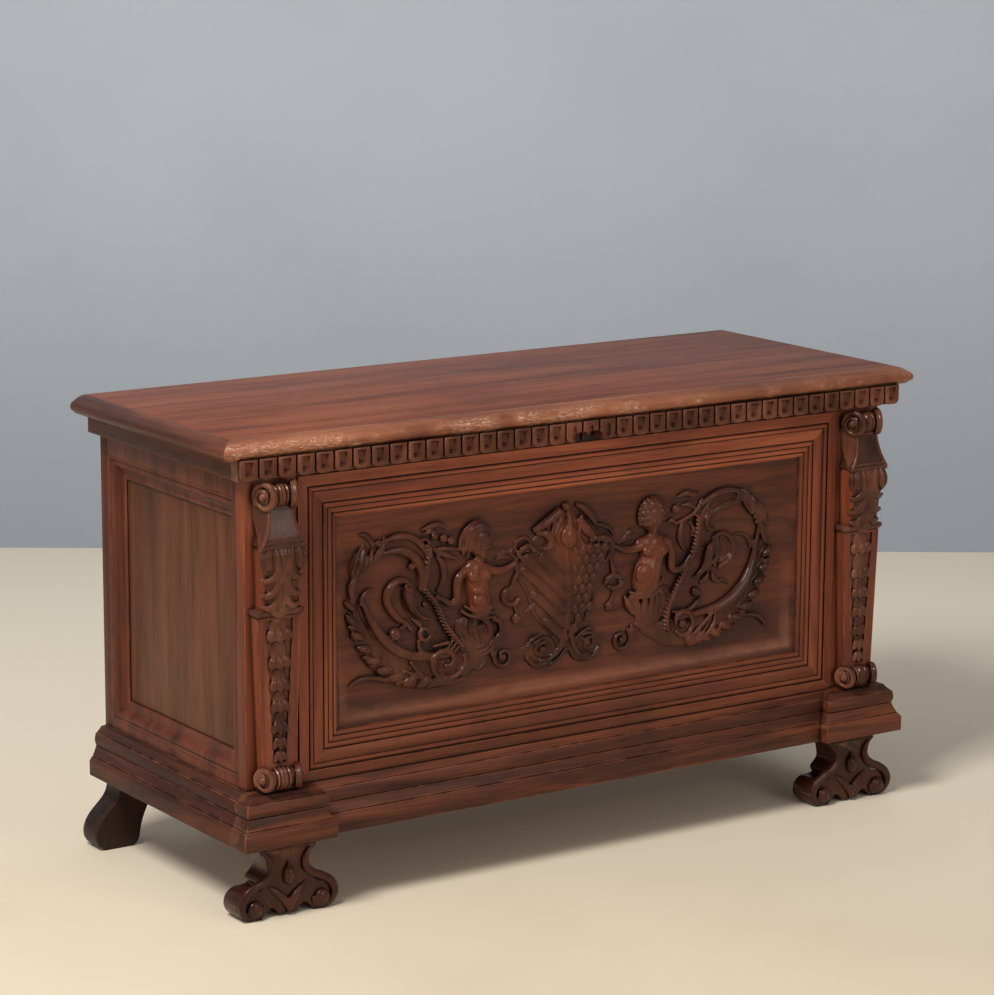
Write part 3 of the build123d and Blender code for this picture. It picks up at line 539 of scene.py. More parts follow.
iron = forged_iron("forged_iron")
for node in ("escutcheon", "lock_case", "lock_bolt", "lock_link"):
    rubbed(node, iron, edge=0.0004)
for node in ("hinge_case_leaf_left", "hinge_case_leaf_right", "hinge_lid_leaf_left",
             "hinge_lid_leaf_right", "hinge_case_screws", "hinge_lid_screws", "hinge_pins",
             "lock_screws", "lock_link_screws"):
    finishes = frame["nodes"][node].data.materials
    finishes.clear()
    finishes.append(iron)


# ---- Front panel: board --------------------------------------------------------------------
# One wide walnut board, its middle sunk with a gouge to leave the carving proud and a
# rounded margin that the frame moulding laps over.
def board(name, low, high, steps, material, body, stands_for):
    """A block whose front face is stepped in: each step is (width, depth) of one inset."""
    shape = bmesh.new()
    bmesh.ops.create_cube(shape, size=1.0)
    for vertex in shape.verts:
        vertex.co = Vector([low[i] + (vertex.co[i] + 0.5) * (high[i] - low[i])
                            for i in range(3)])
    front = min(shape.faces, key=lambda f: f.calc_center_median().y)
    for width, depth in steps:
        bmesh.ops.inset_region(shape, faces=[front], thickness=width, depth=depth,
                               use_even_offset=True)
    return settle(name, shape, material, body, stands_for)


rebate = 0.008  # the panel lies this far behind the stiles
panel_low, panel_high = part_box("front_panel")
field_y = stile_face + 0.016  # the sunk ground that the carving stands on
panel_low.y = stile_face + rebate
# painted shade reaches far round the carving on this board, and painted light lies on its
# up-facing slopes
panel_wood = walnut("walnut_panel", "x", (48, 20, 11), (84, 39, 22), (112, 56, 32), 27.0,
                    rub=0.1, shade_strength=0.95, shade_reach=0.03, top_light_share=0.75)
# the flat margin, then the slope down to the sunk ground: (width, depth) of each inset
panel_steps = ((0.0145, 0.0), (0.009, -0.0036), (0.009, -0.0030), (0.009, -0.0014))
board("front_panel_board", panel_low, panel_high, panel_steps, panel_wood,
      "chest", ("front_panel",))


# ---- Front panel: carving ------------------------------------------------------------------
# Two half-figures that end in great curled leaves hold the ribbons of a shield. All of it
# stands about 15 mm proud of the sunk ground, cut with gouges and rubbed by waxing.
def walk(run, step):
    """Points and headings at even steps along a smooth run of (x, z) points, in mm."""
    knots = np.array([p[:2] for p in run], float)
    ends = np.vstack([2 * knots[0] - knots[1], knots, 2 * knots[-1] - knots[-2]])
    fine = []
    for before, start, end, after in zip(ends, ends[1:], ends[2:], ends[3:]):
        for t in np.linspace(0, 1, 16, endpoint=False):
            fine.append(0.5 * (2 * start + (end - before) * t
                               + (2 * before - 5 * start + 4 * end - after) * t ** 2
                               + (3 * start - before - 3 * end + after) * t ** 3))
    fine = np.array(fine + [knots[-1]])
    reach = np.concatenate([[0], np.cumsum(np.linalg.norm(np.diff(fine, axis=0), axis=1))])
    marks = np.arange(step / 2, reach[-1], step)
    places = np.array([np.interp(marks, reach, fine[:, i]) for i in (0, 1)]).T
    nexts = np.array([np.interp(marks + 0.5, reach, fine[:, i]) for i in (0, 1)]).T
    backs = np.array([np.interp(marks - 0.5, reach, fine[:, i]) for i in (0, 1)]).T
    heading = nexts - backs
    heading /= np.linalg.norm(heading, axis=1)[:, None]
    return list(zip(places, heading, marks / reach[-1]))


def lump(shape, x, z, wide, tall, deep, height=0.0, turn=0.0):
    """A rounded lump in mm: half width, half height and how far it stands from its middle."""
    bmesh.ops.create_icosphere(shape, subdivisions=3, radius=0.001, matrix=(
        Matrix.Translation((x / 1000, -height / 1000, z / 1000))
        @ Matrix.Rotation(math.radians(turn), 4, "Y")
        @ Matrix.Diagonal((wide, deep, tall, 1))))


def beads(shape, places):
    """Round beads; each place is (x, z, radius) in mm."""
    for x, z, size in places:
        lump(shape, x, z, size, size * 0.95, size * 0.85, 3)


def ridges(shape, marks, flat=0.8, lift=0.0):
    """Tapering round ridges; each mark is a run of (x, z, radius[, height]) in mm."""
    curve = bpy.data.curves.new("gouge", "CURVE")
    curve.dimensions, curve.bevel_depth, curve.bevel_resolution = "3D", 0.001, 2
    curve.resolution_u, curve.use_fill_caps = 6, True
    for mark in marks:
        spline = curve.splines.new("BEZIER")
        spline.bezier_points.add(len(mark) - 1)
        for knot, (x, z, radius, *height) in zip(spline.bezier_points, mark):
            stand = lift + (height[0] if height else 0.0)
            knot.co = (x / 1000, -stand / 1000 / flat, z / 1000)
            knot.radius = radius
            knot.handle_left_type = knot.handle_right_type = "AUTO"
        for x, z, radius, *height in (mark[0], mark[-1]):
            if radius > 1.2:
                lump(shape, x, z, radius, radius, radius * flat,
                     lift + (height[0] if height else 0.0))
    holder = bpy.data.objects.new("gouge", curve)
    mesh = bpy.data.meshes.new_from_object(holder)
    mesh.transform(Matrix.Diagonal((1, flat, 1, 1)))
    shape.from_mesh(mesh)


def rope(shape, run, radius=5.4, pitch=6.6, height=9.5):
    """A twisted cord: short slanting strokes laid along a run."""
    marks = []
    for place, heading, _ in walk(run, pitch):
        side = np.array((-heading[1], heading[0]))
        low = place - side * radius - heading * pitch * 0.7
        high = place + side * radius + heading * pitch * 0.7
        marks.append([(*low, 1.3, height - 3), (*place, pitch * 0.37, height + 1.5),
                      (*high, 1.3, height - 3)])
    ridges(shape, marks, 1.0)
    ridges(shape, [[(*p[:2], radius * 0.7, height - 4.5) for p in run]], 1.0)


def lobes(shape, run, away, step, wide, tall, deep, height=2.0, splay=20.0, taper=0.5):
    """Rounded lobes that overlap along a run, away to one side of it (in mm)."""
    for place, heading, share in walk(run, step):
        size = 1 - taper * share
        centre = place + np.array((-heading[1], heading[0])) * away * size
        turn = math.degrees(math.atan2(heading[0], heading[1])) - math.copysign(splay, away)
        lump(shape, *centre, wide * size, tall * (0.4 + 0.6 * size), deep * (0.5 + 0.5 * size),
             height, turn)


def volute(shape, x, z, radius, turns, start, width, spin=1, height=3.0, eye=None, rim=0.0):
    """A scroll ridge winding in from its start angle (degrees) to a round eye.

    rim is how many turns it runs round the edge before it starts to wind in.
    """
    count = int((turns + rim) * 10) + 1
    mark = []
    for i in range(count):
        turned_by = (turns + rim) * i / (count - 1)
        share = max(0.0, turned_by - rim) / turns
        angle = math.radians(start) + spin * turned_by * 2 * math.pi
        away = radius * (1 - share) + radius * 0.2 * share
        mark.append((x + away * math.cos(angle), z + away * math.sin(angle),
                     width * (1 - 0.45 * share), height * (0.4 + 0.8 * share)))
    ridges(shape, [mark], 0.9)
    eye = eye or radius * 0.24
    lump(shape, x, z, eye, eye, eye, height)


def head(shape, x, z, look):
    """A calm, even face at the usual proportions: eyes half way down, chin well rounded."""
    lump(shape, x, z, 19.5, 25, 15, 4)
    lump(shape, x, z - 13, 13, 12, 13, 4)
    ridges(shape, [[(x - 13 + look, z + 3.5, 1.2, 15), (x - 7 + look, z + 6, 2.2, 17.5),
                    (x + look, z + 4.5, 2.0, 18), (x + 7 + look, z + 6, 2.2, 17.5),
                    (x + 13 + look, z + 3.5, 1.2, 15)],
                   [(x + look, z + 4, 1.6, 18), (x + look, z - 4, 1.9, 19.5),
                    (x + look, z - 9.5, 2.9, 19)],
                   [(x - 5 + look, z - 15, 0.9, 16.5), (x + look, z - 14.4, 1.5, 17.4),
                    (x + 5 + look, z - 15, 0.9, 16.5)],
                   [(x - 4 + look, z - 17.4, 0.9, 16), (x + look, z - 17.9, 1.6, 16.8),
                    (x + 4 + look, z - 17.4, 0.9, 16)]], 0.8)
    for side in (-1, 1):
        lump(shape, x + 7.5 * side + look, z, 3.6, 2.3, 2.2, 15.5)
        lump(shape, x + 9 * side + look, z - 8.5, 5.5, 5.5, 4.5, 12.5)
    lump(shape, x + look, z - 22, 4.6, 3.8, 4, 13.5)


def cut_out(name, shape, front, material, voxel=0.00122, place=Matrix(),
            reach_behind=0.0012):
    """Join the strokes into one carved solid, cut it off behind and set it on its face.

    front gives the y of the face that the carving stands on, at a height z.
    """
    mesh = bpy.data.meshes.new("strokes")
    bmesh.ops.recalc_face_normals(shape, faces=shape.faces)
    shape.to_mesh(mesh)
    shape.free()
    holder = bpy.data.objects.new("strokes", mesh)
    bpy.context.scene.collection.objects.link(holder)
    joined = holder.modifiers.new("joined", "REMESH")
    joined.mode, joined.voxel_size = "VOXEL", voxel
    whole = bpy.data.meshes.new_from_object(
        holder.evaluated_get(bpy.context.evaluated_depsgraph_get()))
    bpy.data.objects.remove(holder)
    shape = bmesh.new()
    shape.from_mesh(whole)
    bmesh.ops.smooth_vert(shape, verts=shape.verts, factor=0.5, use_axis_x=True,
                          use_axis_y=True, use_axis_z=True)
    sliced(shape, (0, reach_behind, 0), (0, 1, 0), drop_beyond=True)
    for vertex in shape.verts:
        vertex.co.y += front(vertex.co.z)
    bmesh.ops.transform(shape, matrix=place, verts=shape.verts)
    return settle(name, shape, material, "chest", smooth=60.0)


# painted shade for the hollows, and wood worn red by hands
hollow_shade_tone, handled_tone = paint(18, 9, 6), paint(112, 56, 36)


def carved_walnut(name, deep, middle, light, shift, sheen=0.75, rub_and_highlight_tone=(150, 104, 80),
                  punched=0.0, handled=(), hollow=0.92):
    """Dark waxed carving: painted shade blackens the hollows, and painted highlight, partly
    rubbed wear, makes the ridges browner.

    handled lists the middles of raised parts that hands have worn back to red wood;
    punched is the depth of the dents of a punched ground.
    """
    finish = Finish(name)
    place = finish.node("TexCoord", output=3)
    clouds = finish.noise(finish.mapped(place, Location=(shift, shift, 0)), 12.0, 4.0, 0.6)
    pores = finish.noise(finish.mapped(place, Scale=(420, 420, 26)), 1.0, 2.0)
    colour = finish.node("ValToRGB", {"stops": (
        (0.3, paint(*deep)), (0.52, paint(*middle)), (0.72, paint(*light)))}, {0: clouds})
    for middle_of_part in handled:
        away = finish.measure("DISTANCE", place, middle_of_part)
        colour = finish.mix(finish.fade(away, 0.062, 0.024) * 0.8, colour, handled_tone)
    colour = finish.mix(finish.fade(pores, 0.55, 0.7) * 0.4, colour, paint(*deep))
    inner = finish.node("AmbientOcclusion", {"samples": 6}, {"Distance": 0.012}, output=1)
    point = finish.node("NewGeometry", output=7)
    high = finish.fade(point, 0.53, 0.62) * finish.fade(inner, 0.45, 0.9)
    patch = finish.noise(place, 60.0, 3.0, 0.6)
    # painted shade: the hollows darken towards black where the occlusion finds them
    colour = finish.mix(finish.fade(inner, 0.85, 0.3) * hollow, colour, hollow_shade_tone)
    # painted highlight, partly wear: the ridges that stand out are lightened
    worn = high * finish.fade(patch, 0.3, 0.6) * sheen
    colour = finish.mix(worn, colour, paint(*rub_and_highlight_tone))
    gouge_marks = finish.noise(place, 230.0, 2.0, 0.4, 0.8)
    height = pores * -0.3 + patch * 0.6 + gouge_marks * 0.9
    if punched:
        dents = finish.node("TexVoronoi", {}, {
            "Vector": finish.mapped(place, Scale=(1.0, 1.0, 0.6)), "Scale": 430.0})
        height = height + finish.fade(dents, 0.1, 0.5) * punched
        # painted shade: each dent is darkened towards its middle
        colour = finish.mix(finish.fade(dents, 0.4, 0.1) * 0.6, colour, paint(*deep))
    return finish.surface(colour, 0.3 + 0.16 * patch, height,
                          bump_depth=0.0006, bump_share=0.5, Coat_Weight=0.3,
                          Coat_Roughness=0.1, Specular_IOR_Level=0.2,
                          Specular_Tint=(1.0, 0.62, 0.42, 1.0))


carving_wood = carved_walnut("carved_panel_wood", (42, 19, 12), (74, 38, 26), (104, 58, 42), 3,
                             handled=((-0.184, field_y, 0.452), (0.146, field_y, 0.452),
                                      (-0.014, field_y, 0.511)))


def on_field(_):
    """The carving stands on the sunk ground at every height."""
    return field_y


left_shape = bmesh.new()
# the great curled leaf: low body, raised inner roll, lobed outer edge
left_tail = ((-245, 328), (-282, 328), (-316, 335), (-346, 351), (-372, 374), (-391, 402),
             (-403, 430), (-409, 458))
ridges(left_shape, [
    [(-185, 338, 14), (-208, 333, 24), (-245, 328, 26), (-282, 328, 25), (-316, 335, 24),
     (-346, 351, 22), (-372, 374, 19), (-391, 402, 16), (-403, 430, 12), (-410, 458, 8)],
    [(-352, 532, 5), (-330, 536, 11), (-308, 531, 13), (-290, 515, 14), (-281, 492, 12),
     (-284, 466, 9)],
    [(-318, 424, 9), (-331, 444, 13), (-328, 466, 10)],
    [(-205, 390, 20), (-190, 367, 20), (-170, 375, 20), (-175, 345, 15)]], 0.26)
ridges(left_shape, [
    [(-226, 351, 4), (-250, 352, 6), (-280, 354, 7), (-310, 361, 8), (-338, 376, 9),
     (-359, 397, 9), (-375, 422, 7), (-386, 444, 5), (-394, 458, 3)],
    [(-352, 543, 3), (-336, 547, 5), (-318, 547, 5.5), (-300, 541, 6), (-287, 530, 6),
     (-277, 516, 5), (-271, 500, 3)],
    [(-352, 525, 3), (-335, 527, 6), (-315, 523, 8), (-300, 513, 8), (-289, 498, 8),
     (-284, 480, 7), (-287, 462, 5)],
    [(-298, 532, 1.5), (-286, 538, 2.5), (-273, 534, 2.5), (-264, 524, 2.2), (-258, 511, 1.5)],
    [(-312, 411, 3), (-328, 421, 6), (-342, 438, 7), (-348, 456, 7), (-341, 471, 7),
     (-325, 479, 6), (-309, 474, 4), (-302, 465, 2)],
    [(-406, 436, 3), (-408, 450, 4), (-410, 466, 5.5), (-411, 480, 6), (-404, 492, 5)],
    [(-395, 451, 2.5), (-391, 461, 4), (-382, 470, 3), (-369, 471, 1.5)],
    [(-414, 326, 1.5), (-404, 332, 3), (-390, 335, 3.5), (-370, 333, 4), (-350, 328, 5)],
    [(-291, 380, 2), (-289, 367, 3.4), (-277, 358, 4), (-259, 355, 4.4), (-243, 358, 4)],
    [(-248, 360, 2.2, 2), (-238, 366, 2.6, 4), (-229, 377, 1.6, 3)],
    [(-243, 356, 2.2, 2), (-232, 362, 2.6, 4), (-223, 371, 1.6, 3)],
    [(-237, 353, 2, 2), (-227, 357, 2.4, 4), (-219, 364, 1.6, 3)],
    [(-269, 386, 2), (-277, 380, 3.4), (-287, 385, 4), (-288, 394, 3.8), (-279, 398, 3),
     (-273, 392, 2)]], 0.9, 4.0)
ridges(left_shape, [
    [(-318, 338, 2), (-300, 329, 3), (-277, 318, 3.6), (-255, 311, 4), (-235, 308, 4),
     (-212, 313, 3)],
    [(-308, 350, 2), (-299, 338, 3.4), (-286, 327, 3.2), (-272, 319, 2)],
    [(-211, 348, 3.4), (-209, 335, 4.2), (-222, 321, 4.8), (-244, 316, 5), (-264, 327, 5),
     (-268, 345, 5), (-258, 358, 4.6), (-241, 358, 4.2), (-231, 348, 3.8), (-235, 337, 3.6),
     (-245, 337, 3.4)],
    [(-266, 370, 2), (-240, 372, 3)]], 0.9, 9.0)
lobes(left_shape, left_tail, 12, 24.0, 9.4, 16.5, 8.0, 5.2, 38, 0.42)
lobes(left_shape, left_tail, 18, 17.0, 5.6, 9.5, 6.0, 4.0, 48, 0.42)
# bell flower and its petals
ridges(left_shape, [
    [(-404, 491, 7), (-402, 503, 13), (-394, 520, 12), (-388, 534, 7), (-386, 544, 2)],
    [(-411, 503, 2.2, 8), (-405, 519, 2.4, 9), (-394, 537, 1.5, 4)],
    [(-404, 500, 2.4, 10), (-397, 517, 2.6, 11), (-388, 533, 1.5, 6)],
    [(-396, 499, 2.2, 9), (-388, 510, 2.6, 9), (-382, 524, 1.5, 6)],
    [(-386, 500, 3, 3), (-377, 516, 6, 3), (-374, 531, 3, 3)],
    [(-378, 508, 3, 1), (-362, 523, 6.5, 2), (-353, 538, 6, 2), (-350, 551, 2)],
    [(-397, 557, 2), (-387, 556, 5), (-376, 549, 6), (-371, 538, 4)]], 0.75)
beads(left_shape, ((-362, 541, 6), (-303, 498, 6), (-333, 396, 11), (-279, 436, 5),
                   (-262, 540, 6), (-246, 535, 7), (-232, 530, 7)))
rope(left_shape, ((-273, 528), (-274, 512), (-277, 497), (-279, 480), (-283, 466),
                  (-275, 452), (-263, 439), (-254, 422), (-244, 402), (-234, 387),
                  (-222, 373), (-212, 362)))
# drop bud inside the ring, small leaves about it
ridges(left_shape, [
    [(-312, 467, 6, 2), (-311, 460, 9, 3), (-306, 446, 10, 3), (-299, 431, 8, 2),
     (-289, 420, 4, 1), (-268, 411, 2)],
    [(-314, 464, 4, 8), (-309, 463, 5, 9), (-305, 458, 3, 7)],
    [(-306, 444, 3, 9), (-299, 430, 2.6, 8), (-287, 418, 1.6, 4)],
    [(-322, 404, 2.4), (-312, 409, 4.5), (-305, 402, 4), (-301, 396, 2)],
    [(-303, 417, 2), (-292, 409, 5), (-284, 400, 3)],
    [(-283, 553, 2.4), (-266, 557, 5), (-251, 557, 5), (-240, 550, 2)],
    [(-281, 546, 2), (-270, 548, 4), (-258, 547, 2)],
    [(-264, 519, 2.4), (-241, 519, 4), (-214, 514, 2.4)],
    [(-256, 514, 3), (-240, 508, 5), (-222, 501, 2.4)],
    [(-256, 507, 3), (-248, 497, 5.5), (-244, 481, 6), (-247, 466, 5), (-256, 454, 2.6)]],
    0.8, 2.0)

# left half-figure, long haired, one hand on the rope and one on the shield
ridges(left_shape, [
    [(-181, 500, 8, 4), (-182, 488, 9, 4)],
    [(-205, 478, 9, 2), (-184, 481, 13, 3), (-166, 479, 9, 2)],
    [(-188, 478, 20, 0), (-184, 458, 21, 0), (-180, 438, 19, 0), (-178, 418, 21, 0)],
    [(-208, 478, 7, 4), (-219, 470, 7.5, 5), (-222, 452, 7, 5), (-224, 436, 6.5, 5),
     (-233, 432, 5.5, 5), (-247, 440, 4.6, 5), (-257, 445, 4.6, 5)],
    [(-166, 479, 7, 4), (-150, 473, 7, 5), (-132, 474, 5.4, 5), (-116, 480, 4.6, 5)],
    [(-152, 487, 2), (-143, 492, 5), (-133, 493, 5), (-122, 487, 2)],
    [(-146, 497, 1.6), (-134, 502, 4), (-121, 497, 2)]], 0.72)
for muscle in (
        (-194, 470, 11, 9, 6, 11), (-173, 470, 10, 9, 6, 11), (-184, 447, 12, 7, 5, 12),
        (-183, 432, 14, 10, 6, 11), (-222, 446, 6, 10, 4, 7), (-176, 418, 18, 8, 6, 9)):
    lump(left_shape, *muscle)
head(left_shape, -181, 524, 2)
ridges(left_shape, [
    [(-164, 538, 2, 10), (-170, 547, 4, 11), (-182, 550, 5, 12), (-195, 545, 5, 11),
     (-203, 532, 5, 8), (-206, 517, 5, 5), (-209, 507, 3, 3)],
    [(-168, 544, 2, 13), (-180, 545, 3, 15), (-191, 540, 3, 14), (-198, 528, 3, 10),
     (-199, 514, 3, 7), (-202, 503, 2, 4)],
    [(-173, 551, 2, 6), (-187, 554, 4, 6), (-202, 546, 5, 5), (-212, 533, 4, 3),
     (-214, 518, 4, 2), (-207, 509, 3, 2)],
    [(-164, 536, 3, 8), (-160, 524, 4, 6), (-160, 513, 3, 4)]], 0.8)
# belt and skirt of leaves
ridges(left_shape, [
    [(-213, 417, 2.6, 5), (-200, 409, 3.2, 9), (-180, 404, 3.4, 11), (-153, 401, 2.6, 7)],
    [(-207, 424, 2, 5), (-192, 415, 2.4, 10), (-172, 410, 2.4, 11), (-150, 409, 2, 6)],
    [(-204, 402, 5, 3), (-208, 388, 7, 3), (-200, 374, 6, 2), (-188, 366, 2)],
    [(-190, 400, 5, 5), (-190, 384, 6, 6), (-184, 370, 5, 4), (-176, 363, 2, 2)],
    [(-172, 399, 5, 6), (-163, 388, 5, 7), (-162, 374, 5, 6), (-171, 363, 4, 4),
     (-181, 358, 2, 2)],
    [(-155, 398, 4, 5), (-143, 392, 5, 5), (-139, 378, 4.6, 5), (-148, 366, 4, 4),
     (-160, 360, 3, 3)],
    [(-186, 354, 2, 3), (-174, 358, 3, 5), (-160, 366, 2, 4)],
    [(-182, 347, 2, 3), (-170, 351, 3, 5), (-156, 360, 2, 4)],
    [(-176, 341, 2, 3), (-165, 345, 3, 4), (-152, 354, 2, 3)],
    [(-196, 336, 3), (-180, 322, 4), (-165, 332, 3)]], 0.8)
volute(left_shape, -134, 334, 18, 1.4, 150, 4.0, 1)
ridges(left_shape, [[(-152, 356, 3), (-155, 345, 5), (-149, 330, 4)]], 0.8, 2)
cut_out("carving_left", left_shape, on_field, carving_wood)

# shield: ribbed half and scaled half under a curled top, two scrolls at the foot
middle_shape = bmesh.new()
ridges(middle_shape, [
    [(-14, 548, 12), (-14, 520, 30), (-18, 488, 52), (-22, 455, 54), (-22, 425, 44),
     (-22, 398, 40), (-20, 372, 28), (-19, 345, 18)],
    [(-98, 497, 8), (-72, 502, 16), (-45, 520, 18)],
    [(64, 497, 8), (42, 502, 16), (16, 520, 18)],
    [(-92, 337, 8), (-60, 334, 24), (-30, 338, 14)],
    [(54, 337, 8), (24, 334, 24), (-6, 338, 14)],
    [(-72, 470, 34), (-62, 430, 26), (-50, 396, 20), (-38, 370, 14)],
    [(30, 470, 30), (20, 430, 22), (8, 396, 18)]], 0.14)
edge_z = (345, 360, 380, 400, 425, 450, 480, 492)
left_edge = (-25, -40, -60, -76, -83, -98, -109, -106)
right_edge = (-8, 8, 26, 37, 38, 50, 64, 66)
for foot in range(350, 590, 24):
    # broad bands slanting up to the left from the middle rib
    band = [(x, foot + 0.9 * (-20 - x)) for x in range(-20, -112, -4)]
    band = [(x, z) for x, z in band
            if z < 487 and x > float(np.interp(z, edge_z, left_edge)) + 6]
    if len(band) > 2:
        ridges(middle_shape, [[(*band[0], 8.4, 4.6), (*band[len(band) // 2], 8.4, 5.0),
                               (*band[-1], 7.8, 3.8)]], 0.42)
for row in range(10):
    z = 487 - 15.5 * row
    for column in range(5):
        x = -1 + 14.5 * column + (7.2 if row % 2 else 0)
        if x < float(np.interp(z, edge_z, right_edge)) - 4:
            lump(middle_shape, x, z, 7.4, 9.2, 4.4, 5.0)
ridges(middle_shape, [
    [(-104, 492, 3), (-111, 482, 3.4), (-105, 458, 3.4), (-89, 430, 3.2), (-80, 408, 3),
     (-76, 396, 3), (-58, 374, 3), (-36, 352, 2.6)],
    [(-92, 400, 3), (-82, 405, 4.6), (-71, 413, 3)],
    [(66, 492, 3), (69, 476, 4), (60, 460, 4), (47, 440, 3.6), (39, 424, 3), (38, 402, 3),
     (29, 386, 3), (22, 372, 2.6)],
    [(40, 402, 2.4), (30, 392, 4), (22, 374, 2.4)],
    [(-18, 492, 4, 5), (-14, 460, 4.6, 6), (-12, 420, 4.6, 6), (-14, 385, 5, 5),
     (-16, 368, 7, 4)],
    [(-16, 372, 4, 4), (-22, 352, 5.4, 4), (-30, 332, 5, 4), (-45, 320, 4.4, 3),
     (-64, 318, 4, 3)],
    [(-12, 372, 4, 4), (-6, 350, 5.4, 4), (0, 332, 5, 4), (10, 320, 4.4, 3), (26, 317, 4, 3)],
    [(-16, 332, 2.6, 2), (-26, 320, 3.4, 2), (-46, 308, 3, 1)],
    [(-8, 330, 2.6, 2), (0, 316, 3.4, 2), (14, 309, 3, 1)],
    [(-76, 529, 5, 4), (-55, 540, 7.5, 6), (-33, 553, 7, 5)],
    [(-72, 522, 3, 4), (-58, 521, 8, 5), (-48, 510, 8, 4), (-50, 500, 6, 6),
     (-60, 497, 4.6, 6)],
    [(-110, 499, 2.6), (-112, 509, 4), (-102, 517, 4.6), (-90, 516, 4.4), (-82, 508, 4)],
    [(-108, 494, 3, 3), (-100, 502, 4.6, 5), (-89, 505, 4, 5), (-80, 499, 4.6, 5)],
    [(-106, 492, 4, 3), (-100, 486, 4.6, 3), (-97, 478, 3, 2)],
    [(-117, 503, 2), (-120, 496, 3.4), (-114, 490, 3)],
    [(-40, 540, 3, 4), (-44, 520, 4, 4), (-38, 502, 4, 4), (-24, 492, 4, 5)],
    [(12, 540, 3, 4), (7, 525, 4, 4), (6, 509, 4, 4), (14, 496, 4.4, 4), (29, 488, 4, 4)],
    [(4, 560, 4, 3), (18, 552, 7, 4), (30, 540, 7, 4), (38, 528, 5, 3)],
    [(10, 532, 8, 2), (22, 518, 10, 2), (34, 508, 7, 3)],
    [(30, 500, 3.4, 5), (38, 503, 5, 6), (45, 499, 3, 5)],
    [(42, 524, 2.6, 2), (54, 521, 4, 3), (66, 516, 4, 3), (74, 506, 3.4, 2)],
    [(45, 503, 5, 5), (56, 500, 7.4, 5), (66, 497, 5, 4), (73, 488, 4.4, 3),
     (72, 474, 3.6, 2)]], 0.85)
lump(middle_shape, -14, 511, 16, 19, 10, 6)
ridges(middle_shape, [[(-14, 525, 7, 7), (-14, 540, 3.6, 7), (-15, 550, 4, 5)]], 0.9)
lump(middle_shape, -18, 560, 8.5, 7, 7, 3)
lump(middle_shape, -80, 498, 6, 5.5, 5, 6)
volute(middle_shape, -61, 336, 29, 1.35, 205, 4.6, 1, 3.5)
volute(middle_shape, 23, 336, 29, 1.35, -25, 4.6, -1, 3.5)
for shift in (0, 9, 18):
    ridges(middle_shape, [[(-91 + shift, 349 - shift * 0.5, 1.6, 5),
                           (-80 + shift, 357 - shift * 0.5, 2.8, 8),
                           (-66 + shift * 0.8, 360 - shift * 0.6, 1.6, 5)],
                          [(16, 356 - shift * 0.8, 1.4, 5),
                           (28, 359 - shift * 0.8, 2.4, 7),
                           (42 - shift * 0.4, 354 - shift * 0.8, 1.4, 5)]], 0.8)
# ribbons with their rings and rosettes
ridges(middle_shape, [
    [(-108, 476, 2.6), (-108, 466, 4), (-115, 453, 4.4), (-118, 445, 3)],
    [(-120, 442, 3), (-131, 437, 5), (-134, 427, 5), (-127, 418, 4.4), (-115, 415, 4.4),
     (-106, 422, 3.6)],
    [(-113, 410, 2), (-109, 400, 3), (-111, 392, 3)],
    [(74, 474, 2, 2), (71, 463, 2.6), (73, 454, 4), (76, 446, 5.6)],
    [(60, 426, 3), (64, 433, 5), (76, 437, 5.6), (88, 434, 4.6)],
    [(66, 421, 3), (78, 417, 4), (92, 424, 4.8), (87, 428, 3)],
    [(76, 412, 2), (72, 400, 2.6), (68, 390, 3)]], 0.85, 2.0)
for x, z in ((-110, 391), (68, 389)):
    for turn in range(5):
        angle = math.radians(90 + 72 * turn)
        lump(middle_shape, x + 4.6 * math.cos(angle), z + 4.6 * math.sin(angle), 4, 4, 3.4, 2)
    lump(middle_shape, x, z, 2.6, 2.6, 2.6, 5)
cut_out("carving_middle", middle_shape, on_field, carving_wood, voxel=0.001)

# right half: the same design, cut by eye, so nothing quite repeats
right_shape = bmesh.new()
right_tail = ((214, 327), (250, 328), (284, 334), (314, 348), (340, 370), (358, 398),
              (370, 428), (376, 458))
ridges(right_shape, [
    [(155, 338, 14), (178, 333, 24), (214, 327, 25), (250, 328, 25), (284, 334, 24),
     (314, 348, 22), (340, 370, 20), (360, 398, 17), (371, 428, 13), (377, 458, 8)],
    [(322, 535, 7), (302, 538, 12), (280, 532, 13), (262, 518, 13), (252, 496, 11),
     (252, 470, 8)],
    [(292, 430, 8), (303, 450, 9), (294, 470, 8)],
    [(174, 392, 18), (160, 368, 20), (140, 376, 22), (146, 346, 17)]], 0.26)
ridges(right_shape, [
    [(196, 352, 4), (222, 354, 5), (250, 356, 6), (276, 359, 7.5), (302, 368, 9),
     (326, 384, 10), (344, 407, 9), (354, 432, 6), (360, 458, 4), (366, 484, 3)],
    [(322, 548, 4), (303, 551, 5.5), (282, 549, 6), (262, 542, 5), (248, 534, 4)],
    [(326, 531, 3), (306, 530, 6), (286, 526, 6), (272, 520, 5)],
    [(276, 524, 2.4), (269, 518, 3), (264, 524, 2)],
    [(275, 515, 2), (263, 514, 3.6), (257, 504, 4), (262, 493, 4), (275, 489, 3)],
    [(272, 476, 2.4), (286, 481, 4), (300, 478, 5), (311, 465, 5.4), (313, 450, 5.4),
     (304, 436, 5), (286, 427, 4)],
    [(372, 484, 4), (374, 470, 5), (378, 458, 4)],
    [(360, 492, 3), (372, 486, 4.6), (380, 478, 3)],
    [(326, 334, 1.6), (340, 339, 3), (356, 338, 3.6), (372, 331, 4), (382, 320, 4)],
    [(248, 380, 2.4), (241, 374, 3.8), (229, 365, 4), (212, 361, 3.4), (192, 364, 2.6)]],
    0.9, 4.0)
